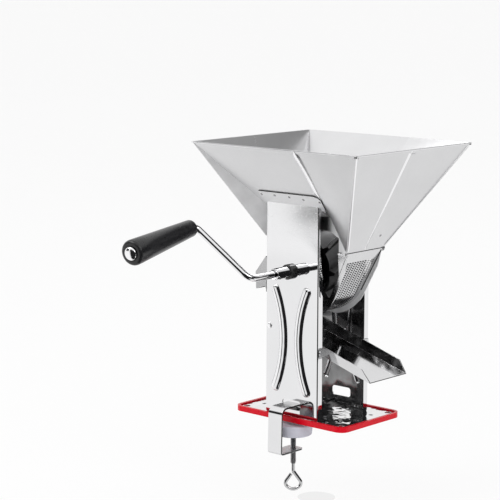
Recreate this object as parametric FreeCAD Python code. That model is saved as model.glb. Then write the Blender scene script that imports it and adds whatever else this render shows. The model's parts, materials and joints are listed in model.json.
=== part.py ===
import FreeCAD, Part
import math
import os

# Hand cranked tomato strainer in bent sheet steel.
# Millimetres. +Z is up, +X is the side where the juice runs out, -Y is the crank side.
# The origin is the centre of the underside of the base.

V = FreeCAD.Vector

# ---------------------------------------------------------------- driving dimensions

# Base plate with its plastic edging
BASE_LENGTH = 148.6
BASE_WIDTH = 97.4
BASE_CORNER_R = 10.0
BASE_SHEET = 1.6
TRIM_HEIGHT = 5.6
TRIM_WALL = 1.2
TRIM_LIP = 1.8
TRIM_UNDER_PLATE = 2.6
HOLE_INSET = 10.0
BASE_HOLE_R = 3.5
DRAIN_HOLE_X = 57.0
DRAIN_HOLE_Y = 19.0
DRAIN_HOLE_R = 2.4

# Two side plates
SIDE_SHEET = 1.2
SIDE_OUTER_Y = 41.5
SIDE_HALF_WIDTH = 34.9
SIDE_BEND_Z = 226.0
SIDE_FLANGE = 7.2
FLANGE_RIVET_INSET = 4.1
SIDE_FLANGE_NARROW = 3.0
FLANGE_STEP_LOW_Z = 150.0
FLANGE_STEP_HIGH_Z = 180.0
FOOT_FLANGE = 9.0
TAB_LENGTH = 16.0
TAB_LEFT_X = -37.8
TAB_RIGHT_X = 43.0
WINDOW_LENGTH = 24.5
WINDOW_HEIGHT = 10.2
WINDOW_BOTTOM_Z = 11.4
WINDOW_CORNER_R = 3.0
RIB_TOP_Z = 137.0
RIB_BOTTOM_Z = 32.0
RIB_END_X = 21.5
RIB_WAIST_X = 10.0
RIB_WIDTH = 8.0
RIB_HEIGHT = 1.8

# Hopper
RIM_LEFT_X = -92.6
RIM_RIGHT_X = 124.9
RIM_HALF_WIDTH = 94.1
RIM_Z = 287.8
HOPPER_SHEET = 1.0
HEM_THICKNESS = 0.8
HEM_HEIGHT = 4.0
HEM_CORNER_GAP = 2.6
CREASE_RIM_X = 46.0
CREASE_LOW_X = 41.5
THROAT_HALF_WIDTH = 31.0
THROAT_LEFT_X = -34.0
LIP_RIGHT_X = 62.7
LIP_RIGHT_Z = 180.8
LIP_LEFT_X = -45.0
LIP_LEFT_Z = 188.0
SKIRT_HEIGHT = 14.0
SKIRT_STRIP = 10.0
SEAM_LAP_TOP = 5.6
SEAM_LAP_LOW = 2.0
SEAM_LAP_ROOT = 3.0
SEAM_LAP_SHEET = 0.6

# Roller, shaft and bushes
AXIS_X = -3.0
AXIS_Z = 156.0
ROLLER_R = 45.0
ROLLER_CORE_R = 39.0
ROLLER_RIM_R = 35.5
ROLLER_HALF_LENGTH = 23.4
ROLLER_HUB_R = 12.0
ROLLER_WEB = 5.0
ROLLER_END_SHEET = 1.0
ROLLER_VANES = 10
ROLLER_TWIST = 26.0
VANE_ROOT_WIDTH = 6.0
VANE_TIP_WIDTH = 2.6
SHAFT_R = 4.0
RUNNING_CLEARANCE = 0.05
BUSH_R = 7.0
BUSH_FLANGE_R = 7.9
BUSH_FLANGE = 5.0
BUSH_CHAMFER = 0.6
BUSH_END_GAP = 0.6
CIRCLIP_R = 6.5
CIRCLIP_THICKNESS = 1.2
SHAFT_TAIL = 1.4

# Perforated screen
SCREEN_SHEET = 0.8
SCREEN_GAP = 1.2
SCREEN_TOP_HALF = 28.2
SCREEN_HALF_WIDTH = 24.8
SCREEN_END_DEG = -104.0
SCREEN_FLANGE = 5.0
SCREEN_EAR_REACH = 11.5
SCREEN_EAR_SHARE = 0.5
SCREEN_TAIL = 7.0
HOLE_R = 1.6
HOLE_PITCH = 6.0
HOLE_ROW = 5.2
HOLE_MARGIN_TOP = 14.0
HOLE_MARGIN_SIDE = 4.0
HANGER_R = 1.0
BARREL_R = 1.9
LUG_R = 3.2
LIP_GAP = 0.6
HANGER_HEAD_R = 1.9
HANGER_HEAD = 0.8

# Springs that pull the screen on to the roller
SPRING_R = 2.8
SPRING_WIRE = 0.8
SPRING_Y = 17.0
EYE_PLAY = 0.15
ANCHOR_X = -30.5
ANCHOR_Z = 96.5
ANCHOR_R = 2.0
ANCHOR_HEAD_R = 3.6
ANCHOR_HEAD = 1.2

# Peel scraper and hood
SCRAPER_SHEET = 1.0
SCRAPER_HALF = 27.5
SCRAPER_GAP = 0.6
HOOD_TOP_DEG = 168.5
HOOD_LOW_DEG = 206.0
HOOD_OUT_X = -62.0
HOOD_OUT_TOP_Z = 147.0
HOOD_OUT_LOW_Z = 129.5
EAR_LOW_Z = 131.0
EAR_HIGH_Z = 145.0
RIVET_R = 1.5
RIVET_HEAD_R = 2.6
RIVET_HEAD = 1.0

# Juice chute
CHUTE_SHEET = 1.0
CHUTE_BACK_X = -20.0
CHUTE_LIP_X = 93.6
CHUTE_LIP_Z = 51.6
CHUTE_SLOPE = 0.30
CHUTE_HALF_BACK = 27.4
CHUTE_HALF_LIP = 30.0
CHUTE_FLARE = 2.4
CHUTE_WALL_BACK = 12.2
CHUTE_WALL_FRONT = 10.8
CHUTE_CORNER_X = 84.0
CHUTE_EAR_HEIGHT = 8.0
CHUTE_EAR_END_Y = 40.4

# Crank
SLEEVE_R = 6.1
SLEEVE_LENGTH = 19.4
SLEEVE_MOUTH_R = 5.0
SLEEVE_MOUTH = 3.0
SLEEVE_CHAMFER = 0.6
CRANK_ROD_R = 3.65
CRANK_JOIN = 10.0
CRANK_PIN_R = 1.25
CRANK_PIN_INSET = 4.6
CRANK_PIN_PROUD = 0.5
CRANK_BEND_Y = -103.0
CRANK_RADIUS = 77.0
CRANK_OFFSET = 16.8
CRANK_BEND_R = 11.0
GRIP_BEND_R = 6.4
CRANK_ANGLE = 140.0
GRIP_LEAN = 11.4
GRIP_START = 6.6
GRIP_LENGTH = 101.0
GRIP_R_INNER = 8.8
GRIP_R_OUTER = 12.9
GRIP_EDGE = 2.0
GRIP_GROOVE = 0.8
GRIP_PLAY = 0.4
CAP_R = 6.8
CAP_HEIGHT = 3.6

# Table clamp
CLAMP_X = 0.0
STRAP_WIDTH = 18.0
STRAP_SHEET = 2.0
STRAP_TOP_Z = 18.0
STRAP_TOP_Y = -66.8
STRAP_LOW_Y = -68.2
STRAP_LOW_Z = -31.5
STRAP_BEND_R = 4.0
STRAP_TOP_BEND_R = 8.0
STRAP_END_R = 3.0
ARM_END_Y = -32.0
HOOK_Y = -33.0
SCREW_Y = -38.0
SCREW_R = 3.0
SCREW_CHAMFER = 0.7
SCREW_ROD_R = 1.9
THREAD_LOW_Z = -47.0
EYE_TOP_Z = -55.0
EYE_LOW_Z = -76.2
EYE_WIDTH = 20.2
EYE_BEND_R = 5.0
EYE_TURN = 42.0
PAD_R = 20.2
PAD_TOP_Z = -3.0
PAD_HEIGHT = 12.0
PAD_EDGE = 1.5
PAD_TAPER = 0.8
PAD_SOCKET_DEPTH = 8.0
PAD_SOCKET_GAP = 0.3

# ---------------------------------------------------------------- derived places

BASE_TOP_Z = TRIM_UNDER_PLATE + BASE_SHEET
SIDE_INNER_Y = SIDE_OUTER_Y - SIDE_SHEET
SHELL_HALF_WIDTH = RIM_HALF_WIDTH - HEM_THICKNESS
SHELL_LEFT_X = RIM_LEFT_X + HEM_THICKNESS
SHELL_RIGHT_X = RIM_RIGHT_X - HEM_THICKNESS
SIDE_SLOPE = (RIM_Z - SIDE_BEND_Z) / (SHELL_HALF_WIDTH - SIDE_INNER_Y)
THROAT_TOP_Z = SIDE_BEND_Z - SIDE_SLOPE * (SIDE_INNER_Y - THROAT_HALF_WIDTH)
SCREEN_R = ROLLER_R + SCREEN_GAP + SCREEN_SHEET
SKIRT_LOW_Z = THROAT_TOP_Z - SKIRT_HEIGHT
SLEEVE_START_Y = -SIDE_OUTER_Y - BUSH_FLANGE - BUSH_END_GAP
SLEEVE_END_Y = SLEEVE_START_Y - SLEEVE_LENGTH
CRANK_JOIN_Y = SLEEVE_START_Y - CRANK_JOIN
CRANK_DIR = V(math.cos(math.radians(CRANK_ANGLE)), 0, math.sin(math.radians(CRANK_ANGLE)))


# ---------------------------------------------------------------- helpers

def box(x0, x1, y0, y1, z0, z1):
    return Part.makeBox(x1 - x0, y1 - y0, z1 - z0, V(x0, y0, z0))


def rod(start, end, radius):
    return Part.makeCylinder(radius, (end - start).Length, start, end - start)


def y_rod(x, z, y0, y1, radius):
    return rod(V(x, y0, z), V(x, y1, z), radius)


def z_rod(x, y, z0, z1, radius):
    return rod(V(x, y, z0), V(x, y, z1), radius)


def prism(points, direction):
    wire = Part.makePolygon(list(points) + [points[0]])
    return Part.Face(wire).extrude(direction)


def mirrored(shape):
    return shape.mirror(V(0, 0, 0), V(0, 1, 0))


def rounded_plate(length, width, radius, z0, z1):
    plate = box(-length / 2, length / 2, -width / 2, width / 2, z0, z1)
    uprights = [e for e in plate.Edges if abs(e.Vertexes[0].Z - e.Vertexes[1].Z) > (z1 - z0) / 2]
    return plate.makeFillet(radius, uprights)


def ruled_face(points):
    """Face over three or four corner points, flat where they are flat."""
    if len(points) == 3:
        return Part.Face(Part.makePolygon(list(points) + [points[0]]))
    a, b, c, d = points
    normal = (b - a).cross(d - a)
    if abs((c - a).dot(normal)) < 1e-6 * normal.Length:
        return Part.Face(Part.makePolygon([a, b, c, d, a]))
    return Part.makeRuledSurface(Part.makeLine(a, b), Part.makeLine(d, c))


def solid_from(faces):
    shell = Part.makeShell(faces)
    shell.sewShape()
    solid = Part.makeSolid(shell)
    if solid.Volume < 0:
        solid.reverse()
    return solid


def slab(outer, inner):
    """Solid between two corner loops with matching points."""
    faces = [ruled_face(outer), ruled_face(inner)]
    count = len(outer)
    for i in range(count):
        j = (i + 1) % count
        faces.append(ruled_face([outer[i], outer[j], inner[j], inner[i]]))
    return solid_from(faces)


def fused(shapes):
    result = shapes[0].multiFuse(list(shapes[1:])) if len(shapes) > 1 else shapes[0]
    return result.removeSplitter()


def save(name, shape):
    if isinstance(shape, list):
        shape = Part.makeCompound(shape)
    for solid in shape.Solids:
        if not solid.isValid():
            print("not valid:", name)
    print(f"{name}: {len(shape.Solids)} solid(s), {shape.Volume / 1000:.2f} cm3")
    shape.exportStep(f"parts/{name}.step")


# ---------------------------------------------------------------- base

def hole_centres():
    hx = BASE_LENGTH / 2 - HOLE_INSET
    hy = BASE_WIDTH / 2 - HOLE_INSET
    return [(sx * hx, sy * hy) for sx in (-1, 1) for sy in (-1, 1)]


def plate_outline(z0, z1):
    inset = 2 * TRIM_WALL
    return rounded_plate(BASE_LENGTH - inset, BASE_WIDTH - inset, BASE_CORNER_R - TRIM_WALL, z0, z1)


def base_plate():
    plate = plate_outline(TRIM_UNDER_PLATE, BASE_TOP_Z)
    cutters = [z_rod(x, y, 0, TRIM_HEIGHT, BASE_HOLE_R) for x, y in hole_centres()]
    for side in (-1, 1):
        cutters.append(z_rod(side * DRAIN_HOLE_X, side * DRAIN_HOLE_Y, 0, TRIM_HEIGHT, DRAIN_HOLE_R))
    return plate.cut(cutters + foot_rivet_shanks())


def base_trim():
    outer = rounded_plate(BASE_LENGTH, BASE_WIDTH, BASE_CORNER_R, 0, TRIM_HEIGHT)
    inset = 2 * (TRIM_WALL + TRIM_LIP)
    inner = rounded_plate(BASE_LENGTH - inset, BASE_WIDTH - inset,
                          BASE_CORNER_R - TRIM_WALL - TRIM_LIP, -1, TRIM_HEIGHT + 1)
    return outer.cut([inner, plate_outline(TRIM_UNDER_PLATE, BASE_TOP_Z)])


# ---------------------------------------------------------------- side plates

def foot_spots():
    x = (WINDOW_LENGTH / 2 + SIDE_HALF_WIDTH) / 2 + 2
    y = SIDE_INNER_Y - FOOT_FLANGE * 0.6
    return [(sx * x, sy * y) for sx in (-1, 1) for sy in (-1, 1)]


def foot_rivet_shanks():
    return [z_rod(x, y, TRIM_UNDER_PLATE, BASE_TOP_Z + SIDE_SHEET, RIVET_R) for x, y in foot_spots()]


def foot_rivets():
    rivets = []
    for x, y in foot_spots():
        shank = z_rod(x, y, TRIM_UNDER_PLATE - RIVET_HEAD, BASE_TOP_Z + SIDE_SHEET + RIVET_HEAD, RIVET_R)
        low = z_rod(x, y, TRIM_UNDER_PLATE - RIVET_HEAD, TRIM_UNDER_PLATE, RIVET_HEAD_R)
        high = z_rod(x, y, BASE_TOP_Z + SIDE_SHEET, BASE_TOP_Z + SIDE_SHEET + RIVET_HEAD, RIVET_HEAD_R)
        rivets.append(fused([shank, low, high]))
    return rivets


def rib_pair(section_r, depth):
    """Two bowed ribs, as rounded bars whose centre line lies behind the plate's outer face."""
    half = (RIB_TOP_Z - RIB_BOTTOM_Z) / 2
    sag = RIB_END_X - RIB_WAIST_X
    bow_r = (half ** 2 + sag ** 2) / (2 * sag)
    sweep = 2 * math.degrees(math.asin(half / bow_r))
    mid_z = (RIB_TOP_Z + RIB_BOTTOM_Z) / 2
    y = -SIDE_OUTER_Y + depth
    bars = []
    for side in (-1, 1):
        centre = V(side * (RIB_WAIST_X + bow_r), y, mid_z)
        start = 180 - sweep / 2 if side > 0 else -sweep / 2
        bar = Part.makeTorus(bow_r, section_r, V(0, 0, 0), V(0, 0, 1), -180, 180, sweep)
        bar.rotate(V(0, 0, 0), V(0, 0, 1), start)
        bar.rotate(V(0, 0, 0), V(1, 0, 0), 90)
        bar.translate(centre)
        bars.append(bar)
        for end in (-1, 1):
            bars.append(Part.makeSphere(section_r, V(side * RIB_END_X, y, mid_z + end * half)))
    return bars


def bush_hole(y0, y1, radius):
    return y_rod(AXIS_X, AXIS_Z, y0, y1, radius)


def front_side_plate():
    outer = -SIDE_OUTER_Y
    inner = -SIDE_INNER_Y
    half = SIDE_HALF_WIDTH
    web = box(-half, half, outer, inner, BASE_TOP_Z, SIDE_BEND_Z)
    pieces = [web]
    for side in (-1, 1):
        edge_x = half - SIDE_SHEET if side > 0 else -half
        deep = outer + SIDE_FLANGE
        thin = outer + SIDE_FLANGE_NARROW
        outline = [V(edge_x, outer, BASE_TOP_Z), V(edge_x, deep, BASE_TOP_Z),
                   V(edge_x, deep, FLANGE_STEP_LOW_Z), V(edge_x, thin, FLANGE_STEP_HIGH_Z),
                   V(edge_x, thin, SIDE_BEND_Z - 4), V(edge_x, outer, SIDE_BEND_Z - 4)]
        pieces.append(prism(outline, V(SIDE_SHEET, 0, 0)))
        foot_in = side * (WINDOW_LENGTH / 2 + 2)
        foot_out = side * half
        pieces.append(box(min(foot_in, foot_out), max(foot_in, foot_out),
                          outer, inner + FOOT_FLANGE, BASE_TOP_Z, BASE_TOP_Z + SIDE_SHEET))
    pieces.append(hopper_tab())
    plate = fused(pieces)
    bump_r = (RIB_WIDTH ** 2 / 4 + RIB_HEIGHT ** 2) / (2 * RIB_HEIGHT)
    depth = bump_r - RIB_HEIGHT
    front_space = box(-half, half, outer - RIB_HEIGHT - 1, inner, BASE_TOP_Z, SIDE_BEND_Z)
    bumps = [bar.common(front_space) for bar in rib_pair(bump_r, depth)]
    plate = plate.fuse(bumps)
    plate = plate.cut(rib_pair(bump_r - SIDE_SHEET, depth))
    window = box(-WINDOW_LENGTH / 2, WINDOW_LENGTH / 2, outer - 5, inner + 2,
                 WINDOW_BOTTOM_Z, WINDOW_BOTTOM_Z + WINDOW_HEIGHT)
    along_y = [e for e in window.Edges if abs(e.Vertexes[0].Y - e.Vertexes[1].Y) > 1]
    window = window.makeFillet(WINDOW_CORNER_R, along_y)
    holes = [window, bush_hole(outer - 1, inner + 1, BUSH_R)]
    holes += foot_rivet_shanks() + anchor_holes() + ear_rivet_shanks() + chute_rivet_shanks()
    return plate.cut(holes).removeSplitter()


def hopper_tab():
    """Flared top edge that lies on the sloping side of the hopper."""
    run = math.cos(math.atan(SIDE_SLOPE))
    rise = math.sin(math.atan(SIDE_SLOPE))
    lift = V(0, -rise * SIDE_SHEET, run * SIDE_SHEET) * -1

    def at(x, along):
        return V(x, -SIDE_INNER_Y - along * run, SIDE_BEND_Z + along * rise)

    drop = -SIDE_SHEET / rise
    lobe = -(SIDE_INNER_Y - THROAT_HALF_WIDTH - 2) / run
    half = SIDE_HALF_WIDTH
    outline = [at(-half, drop), at(TAB_LEFT_X, 4), at(TAB_LEFT_X, TAB_LENGTH), at(half, TAB_LENGTH),
               at(TAB_RIGHT_X - 2, TAB_LENGTH - 2), at(TAB_RIGHT_X, TAB_LENGTH - 5),
               at(TAB_RIGHT_X - 1, 0), at(TAB_RIGHT_X - 4, lobe), at(half + 0.6, lobe), at(half, drop)]
    return prism(outline, V(0, -rise, -run) * SIDE_SHEET)


# ---------------------------------------------------------------- hopper

def blend(a, b, share):
    return a + (b - a) * share


def shell_corners(inset):
    """Corner points of one half of the funnel, moved inward by the given amount."""
    w = inset
    t = THROAT_HALF_WIDTH - w
    width = SHELL_HALF_WIDTH - w
    return {
        "seam_left": V(SHELL_LEFT_X + w, 0, RIM_Z),
        "rim_left": V(SHELL_LEFT_X + w, -width, RIM_Z),
        "rim_crease": V(CREASE_RIM_X, -width, RIM_Z),
        "rim_right": V(SHELL_RIGHT_X - w, -width, RIM_Z),
        "seam_right": V(SHELL_RIGHT_X - w, 0, RIM_Z),
        "lip_right_mid": V(LIP_RIGHT_X - w, 0, LIP_RIGHT_Z),
        "lip_right": V(LIP_RIGHT_X - w, -t, LIP_RIGHT_Z),
        "throat_right": V(CREASE_LOW_X, -t, THROAT_TOP_Z),
        "throat_left": V(THROAT_LEFT_X, -t, THROAT_TOP_Z),
        "lip_left": V(LIP_LEFT_X + w, -t, LIP_LEFT_Z),
        "lip_left_mid": V(LIP_LEFT_X + w, 0, LIP_LEFT_Z),
    }


PANELS = [
    ("seam_left", "rim_left", "lip_left", "lip_left_mid"),
    ("rim_left", "throat_left", "lip_left"),
    ("rim_left", "rim_crease", "throat_right", "throat_left"),
    ("rim_crease", "rim_right", "lip_right", "throat_right"),
    ("rim_right", "seam_right", "lip_right_mid", "lip_right"),
]
OPEN_EDGES = ["seam_left", "rim_left", "rim_crease", "rim_right", "seam_right", "lip_right_mid",
              "lip_right", "throat_right", "throat_left", "lip_left", "lip_left_mid"]


def hem(corners):
    """Folded rim strip on the outside of each panel."""
    strips = []
    runs = [("seam_left", "rim_left", "lip_left_mid", "lip_left", V(-1, 0, 0), 0, 1),
            ("rim_left", "rim_crease", "throat_left", "throat_right", V(0, -1, 0), 1, 0),
            ("rim_crease", "rim_right", "throat_right", "lip_right", V(0, -1, 0), 0, 1),
            ("rim_right", "seam_right", "lip_right", "lip_right_mid", V(1, 0, 0), 1, 0)]
    for top_a, top_b, low_a, low_b, out, gap_a, gap_b in runs:
        a, b = corners[top_a], corners[top_b]
        along = (b - a).normalize()
        sink = out * (-HOPPER_SHEET / 2)
        share_a = HEM_HEIGHT / (a.z - corners[low_a].z)
        share_b = HEM_HEIGHT / (b.z - corners[low_b].z)
        c = blend(b, corners[low_b], share_b)
        d = blend(a, corners[low_a], share_a)
        start = along * (HEM_CORNER_GAP * gap_a)
        end = along * (-HEM_CORNER_GAP * gap_b)
        inner = [a + start + sink, b + end + sink, c + end + sink, d + start + sink]
        lift = out * (HEM_THICKNESS + HOPPER_SHEET / 2)
        strips.append(slab([p + lift for p in inner], inner))
    return strips


def lug_centre():
    """Axis of the screen's hanger rod, just under the right lip."""
    face = V(LIP_RIGHT_X, 0, LIP_RIGHT_Z - LIP_GAP) + screen_down() * BARREL_R
    return face - screen_normal() * BARREL_R


def hopper_half():
    corners = shell_corners(0)
    inner = shell_corners(HOPPER_SHEET)
    faces = []
    for names in PANELS:
        faces.append(ruled_face([corners[n] for n in names]))
        faces.append(ruled_face([inner[n] for n in names]))
    count = len(OPEN_EDGES)
    for i in range(count):
        a, b = OPEN_EDGES[i], OPEN_EDGES[(i + 1) % count]
        faces.append(ruled_face([corners[a], corners[b], inner[b], inner[a]]))
    funnel = solid_from(faces)
    t = -THROAT_HALF_WIDTH
    skirt = prism([V(LIP_LEFT_X, t, LIP_LEFT_Z), V(THROAT_LEFT_X, t, THROAT_TOP_Z),
                   V(CREASE_LOW_X, t, THROAT_TOP_Z), V(LIP_RIGHT_X, t, LIP_RIGHT_Z),
                   V(LIP_RIGHT_X - SKIRT_STRIP, t, LIP_RIGHT_Z),
                   V(LIP_RIGHT_X - SKIRT_STRIP, t, LIP_RIGHT_Z + SKIRT_HEIGHT),
                   V(CREASE_LOW_X, t, SKIRT_LOW_Z), V(THROAT_LEFT_X, t, SKIRT_LOW_Z)],
                  V(0, HOPPER_SHEET, 0))
    pin = lug_centre()
    lug = y_rod(pin.x, pin.z, t, t + HOPPER_SHEET, LUG_R)
    half = fused([funnel, skirt, lug] + hem(corners))
    return half.cut(y_rod(pin.x, pin.z, t - 1, t + HOPPER_SHEET + 1, HANGER_R))


def seam_lap():
    """Strip of one half that laps over the other at the middle of the right face."""
    face = shell_corners(0)
    top, low = face["seam_right"], face["lip_right_mid"]
    low = blend(top, low, 0.985)
    top = blend(top, low, HEM_HEIGHT / (top.z - low.z) + 0.01)
    inner = [top + V(0, -SEAM_LAP_TOP, 0), top + V(0, SEAM_LAP_ROOT, 0),
             low + V(0, SEAM_LAP_ROOT, 0), low + V(0, -SEAM_LAP_LOW, 0)]
    return slab([p + V(SEAM_LAP_SHEET, 0, 0) for p in inner], inner)


# ---------------------------------------------------------------- screen

def tangent_angle():
    """Angle at which the straight part of the screen meets its round part."""
    dx = LIP_RIGHT_X - AXIS_X
    dz = LIP_RIGHT_Z - LIP_GAP - AXIS_Z
    reach = math.hypot(dx, dz)
    return math.degrees(math.atan2(dz, dx) - math.acos(SCREEN_R / reach))


def screen_normal():
    a = math.radians(tangent_angle())
    return V(math.cos(a), 0, math.sin(a))


def screen_down():
    a = math.radians(tangent_angle())
    return V(math.sin(a), 0, -math.cos(a))


def around(radius, degrees, y=0):
    a = math.radians(degrees)
    return V(AXIS_X + radius * math.cos(a), y, AXIS_Z + radius * math.sin(a))


def arc_edge(radius, start, end, y=0):
    middle = around(radius, (start + end) / 2, y)
    return Part.Arc(around(radius, start, y), middle, around(radius, end, y)).toShape()


def line(a, b):
    return Part.makeLine(a, b)


def screen_profile(y):
    """Side view of the bent sheet, without its flanges."""
    out = SCREEN_R
    inn = SCREEN_R - SCREEN_SHEET
    touch = tangent_angle()
    top = V(LIP_RIGHT_X, y, LIP_RIGHT_Z - LIP_GAP) + screen_down() * BARREL_R
    top_in = top - screen_normal() * SCREEN_SHEET
    edges = [line(top, around(out, touch, y)), arc_edge(out, touch, SCREEN_END_DEG, y),
             line(around(out, SCREEN_END_DEG, y), around(inn, SCREEN_END_DEG, y)),
             arc_edge(inn, SCREEN_END_DEG, touch, y), line(around(inn, touch, y), top_in),
             line(top_in, top)]
    return Part.Face(Part.Wire(edges))


def screen_length():
    """Length of the straight part below the barrel."""
    top = V(LIP_RIGHT_X, 0, LIP_RIGHT_Z - LIP_GAP) + screen_down() * BARREL_R
    return (around(SCREEN_R, tangent_angle()) - top).Length


def screen_point(along):
    """Place on the outer face and outward direction, a given length below the barrel."""
    straight = screen_length()
    if along <= straight:
        top = V(LIP_RIGHT_X, 0, LIP_RIGHT_Z - LIP_GAP) + screen_down() * BARREL_R
        return top + screen_down() * along, screen_normal()
    degrees = tangent_angle() - math.degrees((along - straight) / SCREEN_R)
    point = around(SCREEN_R, degrees)
    return point, (point - V(AXIS_X, 0, AXIS_Z)).normalize()


def half_width_at(along):
    share = min(1.0, along / screen_length())
    return SCREEN_TOP_HALF + (SCREEN_HALF_WIDTH - SCREEN_TOP_HALF) * share


def screen_holes():
    """Six sided through holes in staggered rows."""
    total = screen_length() + math.radians(tangent_angle() - SCREEN_END_DEG) * SCREEN_R
    rows = int((total - HOLE_MARGIN_TOP - 6) / HOLE_ROW)
    cutters = []
    for row in range(rows + 1):
        along = HOLE_MARGIN_TOP + row * HOLE_ROW
        point, out = screen_point(along)
        reach = half_width_at(along) - HOLE_MARGIN_SIDE
        shift = HOLE_PITCH / 2 if row % 2 else 0
        columns = int((reach - shift) / HOLE_PITCH)
        places = [shift + HOLE_PITCH * c for c in range(columns + 1)]
        if shift == 0:
            places += [-p for p in places[1:]]
        else:
            places += [-p for p in places]
        side = out.cross(V(0, 1, 0))
        for y in places:
            centre = V(point.x, y, point.z) - out * (SCREEN_SHEET + 0.5)
            corners = []
            for k in range(6):
                a = math.radians(60 * k)
                corners.append(centre + V(0, HOLE_R * math.cos(a), 0) + side * (HOLE_R * math.sin(a)))
            cutters.append(prism(corners, out * (SCREEN_SHEET + 1)))
    return cutters


def screen_flange():
    """Outward flange and inward ear of the crank side edge."""
    top, normal = screen_point(0)
    foot = around(SCREEN_R, tangent_angle())
    edge = foot - top
    t = V(top.x, -SCREEN_TOP_HALF, top.z)
    p = V(foot.x, -SCREEN_HALF_WIDTH, foot.z)
    down = p - t
    wall = V(0, SCREEN_SHEET, 0)
    inner = -normal * SCREEN_SHEET
    ear_share = SCREEN_EAR_REACH * 0.45 / edge.Length
    outline = [t + inner, t, t + down * 0.35 + normal * (SCREEN_FLANGE * 0.9), p + normal * SCREEN_FLANGE,
               p + inner, t + down * SCREEN_EAR_SHARE + inner,
               t + down * ear_share - normal * SCREEN_EAR_REACH]
    straight = prism(outline, wall)
    touch = tangent_angle()
    end = SCREEN_END_DEG
    y = -SCREEN_HALF_WIDTH
    low_r = SCREEN_R - SCREEN_SHEET
    high_r = SCREEN_R + SCREEN_FLANGE
    taper = 22.0
    edges = [arc_edge(low_r, touch, end, y), line(around(low_r, end, y), around(SCREEN_R + 1, end, y)),
             line(around(SCREEN_R + 1, end, y), around(high_r, end + taper, y)),
             arc_edge(high_r, end + taper, touch, y), line(around(high_r, touch, y), around(low_r, touch, y))]
    curved = Part.Face(Part.Wire(edges)).extrude(wall)
    return [straight, curved]


def spring_hole_centre():
    return around(SCREEN_R + SCREEN_TAIL - 2.6, SCREEN_END_DEG)


def perforated_screen():
    half = SCREEN_TOP_HALF
    sheet = screen_profile(-half).extrude(V(0, 2 * half, 0))
    top_z = LIP_RIGHT_Z + 5
    foot_z = around(SCREEN_R, tangent_angle()).z
    start_z = screen_point(0)[0].z
    lean = (SCREEN_TOP_HALF - SCREEN_HALF_WIDTH) / (start_z - foot_z)
    wide = SCREEN_TOP_HALF + lean * (top_z - start_z)
    narrow = SCREEN_HALF_WIDTH
    low_z = AXIS_Z - SCREEN_R - 5
    left = -2 * RIM_RIGHT_X
    trim = prism([V(left, -wide, top_z), V(left, wide, top_z), V(left, narrow, foot_z),
                  V(left, narrow, low_z), V(left, -narrow, low_z), V(left, -narrow, foot_z)],
                 V(-2 * left, 0, 0))
    sheet = sheet.common(trim)
    sheet = sheet.cut(screen_holes())
    flanges = screen_flange()
    end = SCREEN_END_DEG
    tail_out = around(SCREEN_R + SCREEN_TAIL, end, -narrow + 3)
    tail_in = around(SCREEN_R - SCREEN_SHEET, end, -narrow + 3)
    a = math.radians(end - 90)
    thick = V(math.cos(a), 0, math.sin(a)) * SCREEN_SHEET
    width = V(0, 2 * (narrow - 3), 0)
    tail = prism([tail_in, tail_out, tail_out + width, tail_in + width], thick)
    pin = lug_centre()
    barrel_half = THROAT_HALF_WIDTH - HOPPER_SHEET - 0.8
    barrel = y_rod(pin.x, pin.z, -barrel_half, barrel_half, BARREL_R)
    body = fused([sheet, tail, barrel] + flanges + [mirrored(f) for f in flanges])
    bore = y_rod(pin.x, pin.z, -half - 2, half + 2, HANGER_R + RUNNING_CLEARANCE)
    hook_holes = []
    spot = spring_hole_centre()
    for y in (-SPRING_Y, SPRING_Y):
        through = V(spot.x, y, spot.z)
        hook_holes.append(rod(through - thick * 3, through + thick * 4, SPRING_WIRE * 1.6))
    return body.cut([bore] + hook_holes)


def screen_hanger_rod():
    pin = lug_centre()
    reach = THROAT_HALF_WIDTH
    shank = y_rod(pin.x, pin.z, -reach - HANGER_HEAD, reach + HANGER_HEAD, HANGER_R)
    heads = [y_rod(pin.x, pin.z, -reach - HANGER_HEAD, -reach, HANGER_HEAD_R),
             y_rod(pin.x, pin.z, reach, reach + HANGER_HEAD, HANGER_HEAD_R)]
    return fused([shank] + heads)


# ---------------------------------------------------------------- springs

def anchor_holes():
    return [y_rod(ANCHOR_X, ANCHOR_Z, -SIDE_OUTER_Y - 1, SIDE_OUTER_Y + 1, ANCHOR_R)]


def spring_anchor_rod():
    reach = SIDE_OUTER_Y + ANCHOR_HEAD
    shank = y_rod(ANCHOR_X, ANCHOR_Z, -reach, reach, ANCHOR_R)
    heads = [y_rod(ANCHOR_X, ANCHOR_Z, -reach, -SIDE_OUTER_Y, ANCHOR_HEAD_R),
             y_rod(ANCHOR_X, ANCHOR_Z, SIDE_OUTER_Y, reach, ANCHOR_HEAD_R)]
    return fused([shank] + heads)


def ring(centre, ring_r, wire_r):
    """Flat ring about the Y direction."""
    width = V(0, 2 * wire_r, 0)
    start = centre - V(0, wire_r, 0)
    return rod(start, start + width, ring_r + wire_r).cut(rod(start, start + width, ring_r - wire_r))


def screen_spring(y):
    """Close wound spring as a plain tube with an eye at each end."""
    hole = spring_hole_centre()
    a = V(hole.x, y, hole.z)
    b = V(ANCHOR_X, y, ANCHOR_Z)
    pull = (b - a).normalize()
    wire_r = SPRING_WIRE / 2
    eye_a = SPRING_R - wire_r
    eye_b = ANCHOR_R + wire_r + EYE_PLAY
    start = a + pull * (2 * eye_a - 2 * SPRING_WIRE)
    end = b - pull * (eye_b + wire_r)
    bore = rod(start - pull, end - pull * SPRING_WIRE, SPRING_R - SPRING_WIRE)
    coil = rod(start, end, SPRING_R).cut(bore)
    tie = rod(end - pull * SPRING_WIRE, end + pull * wire_r, SPRING_WIRE)
    return coil.fuse([ring(a + pull * (eye_a - wire_r), eye_a, wire_r), ring(b, eye_b, wire_r), tie])


# ---------------------------------------------------------------- peel scraper

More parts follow.
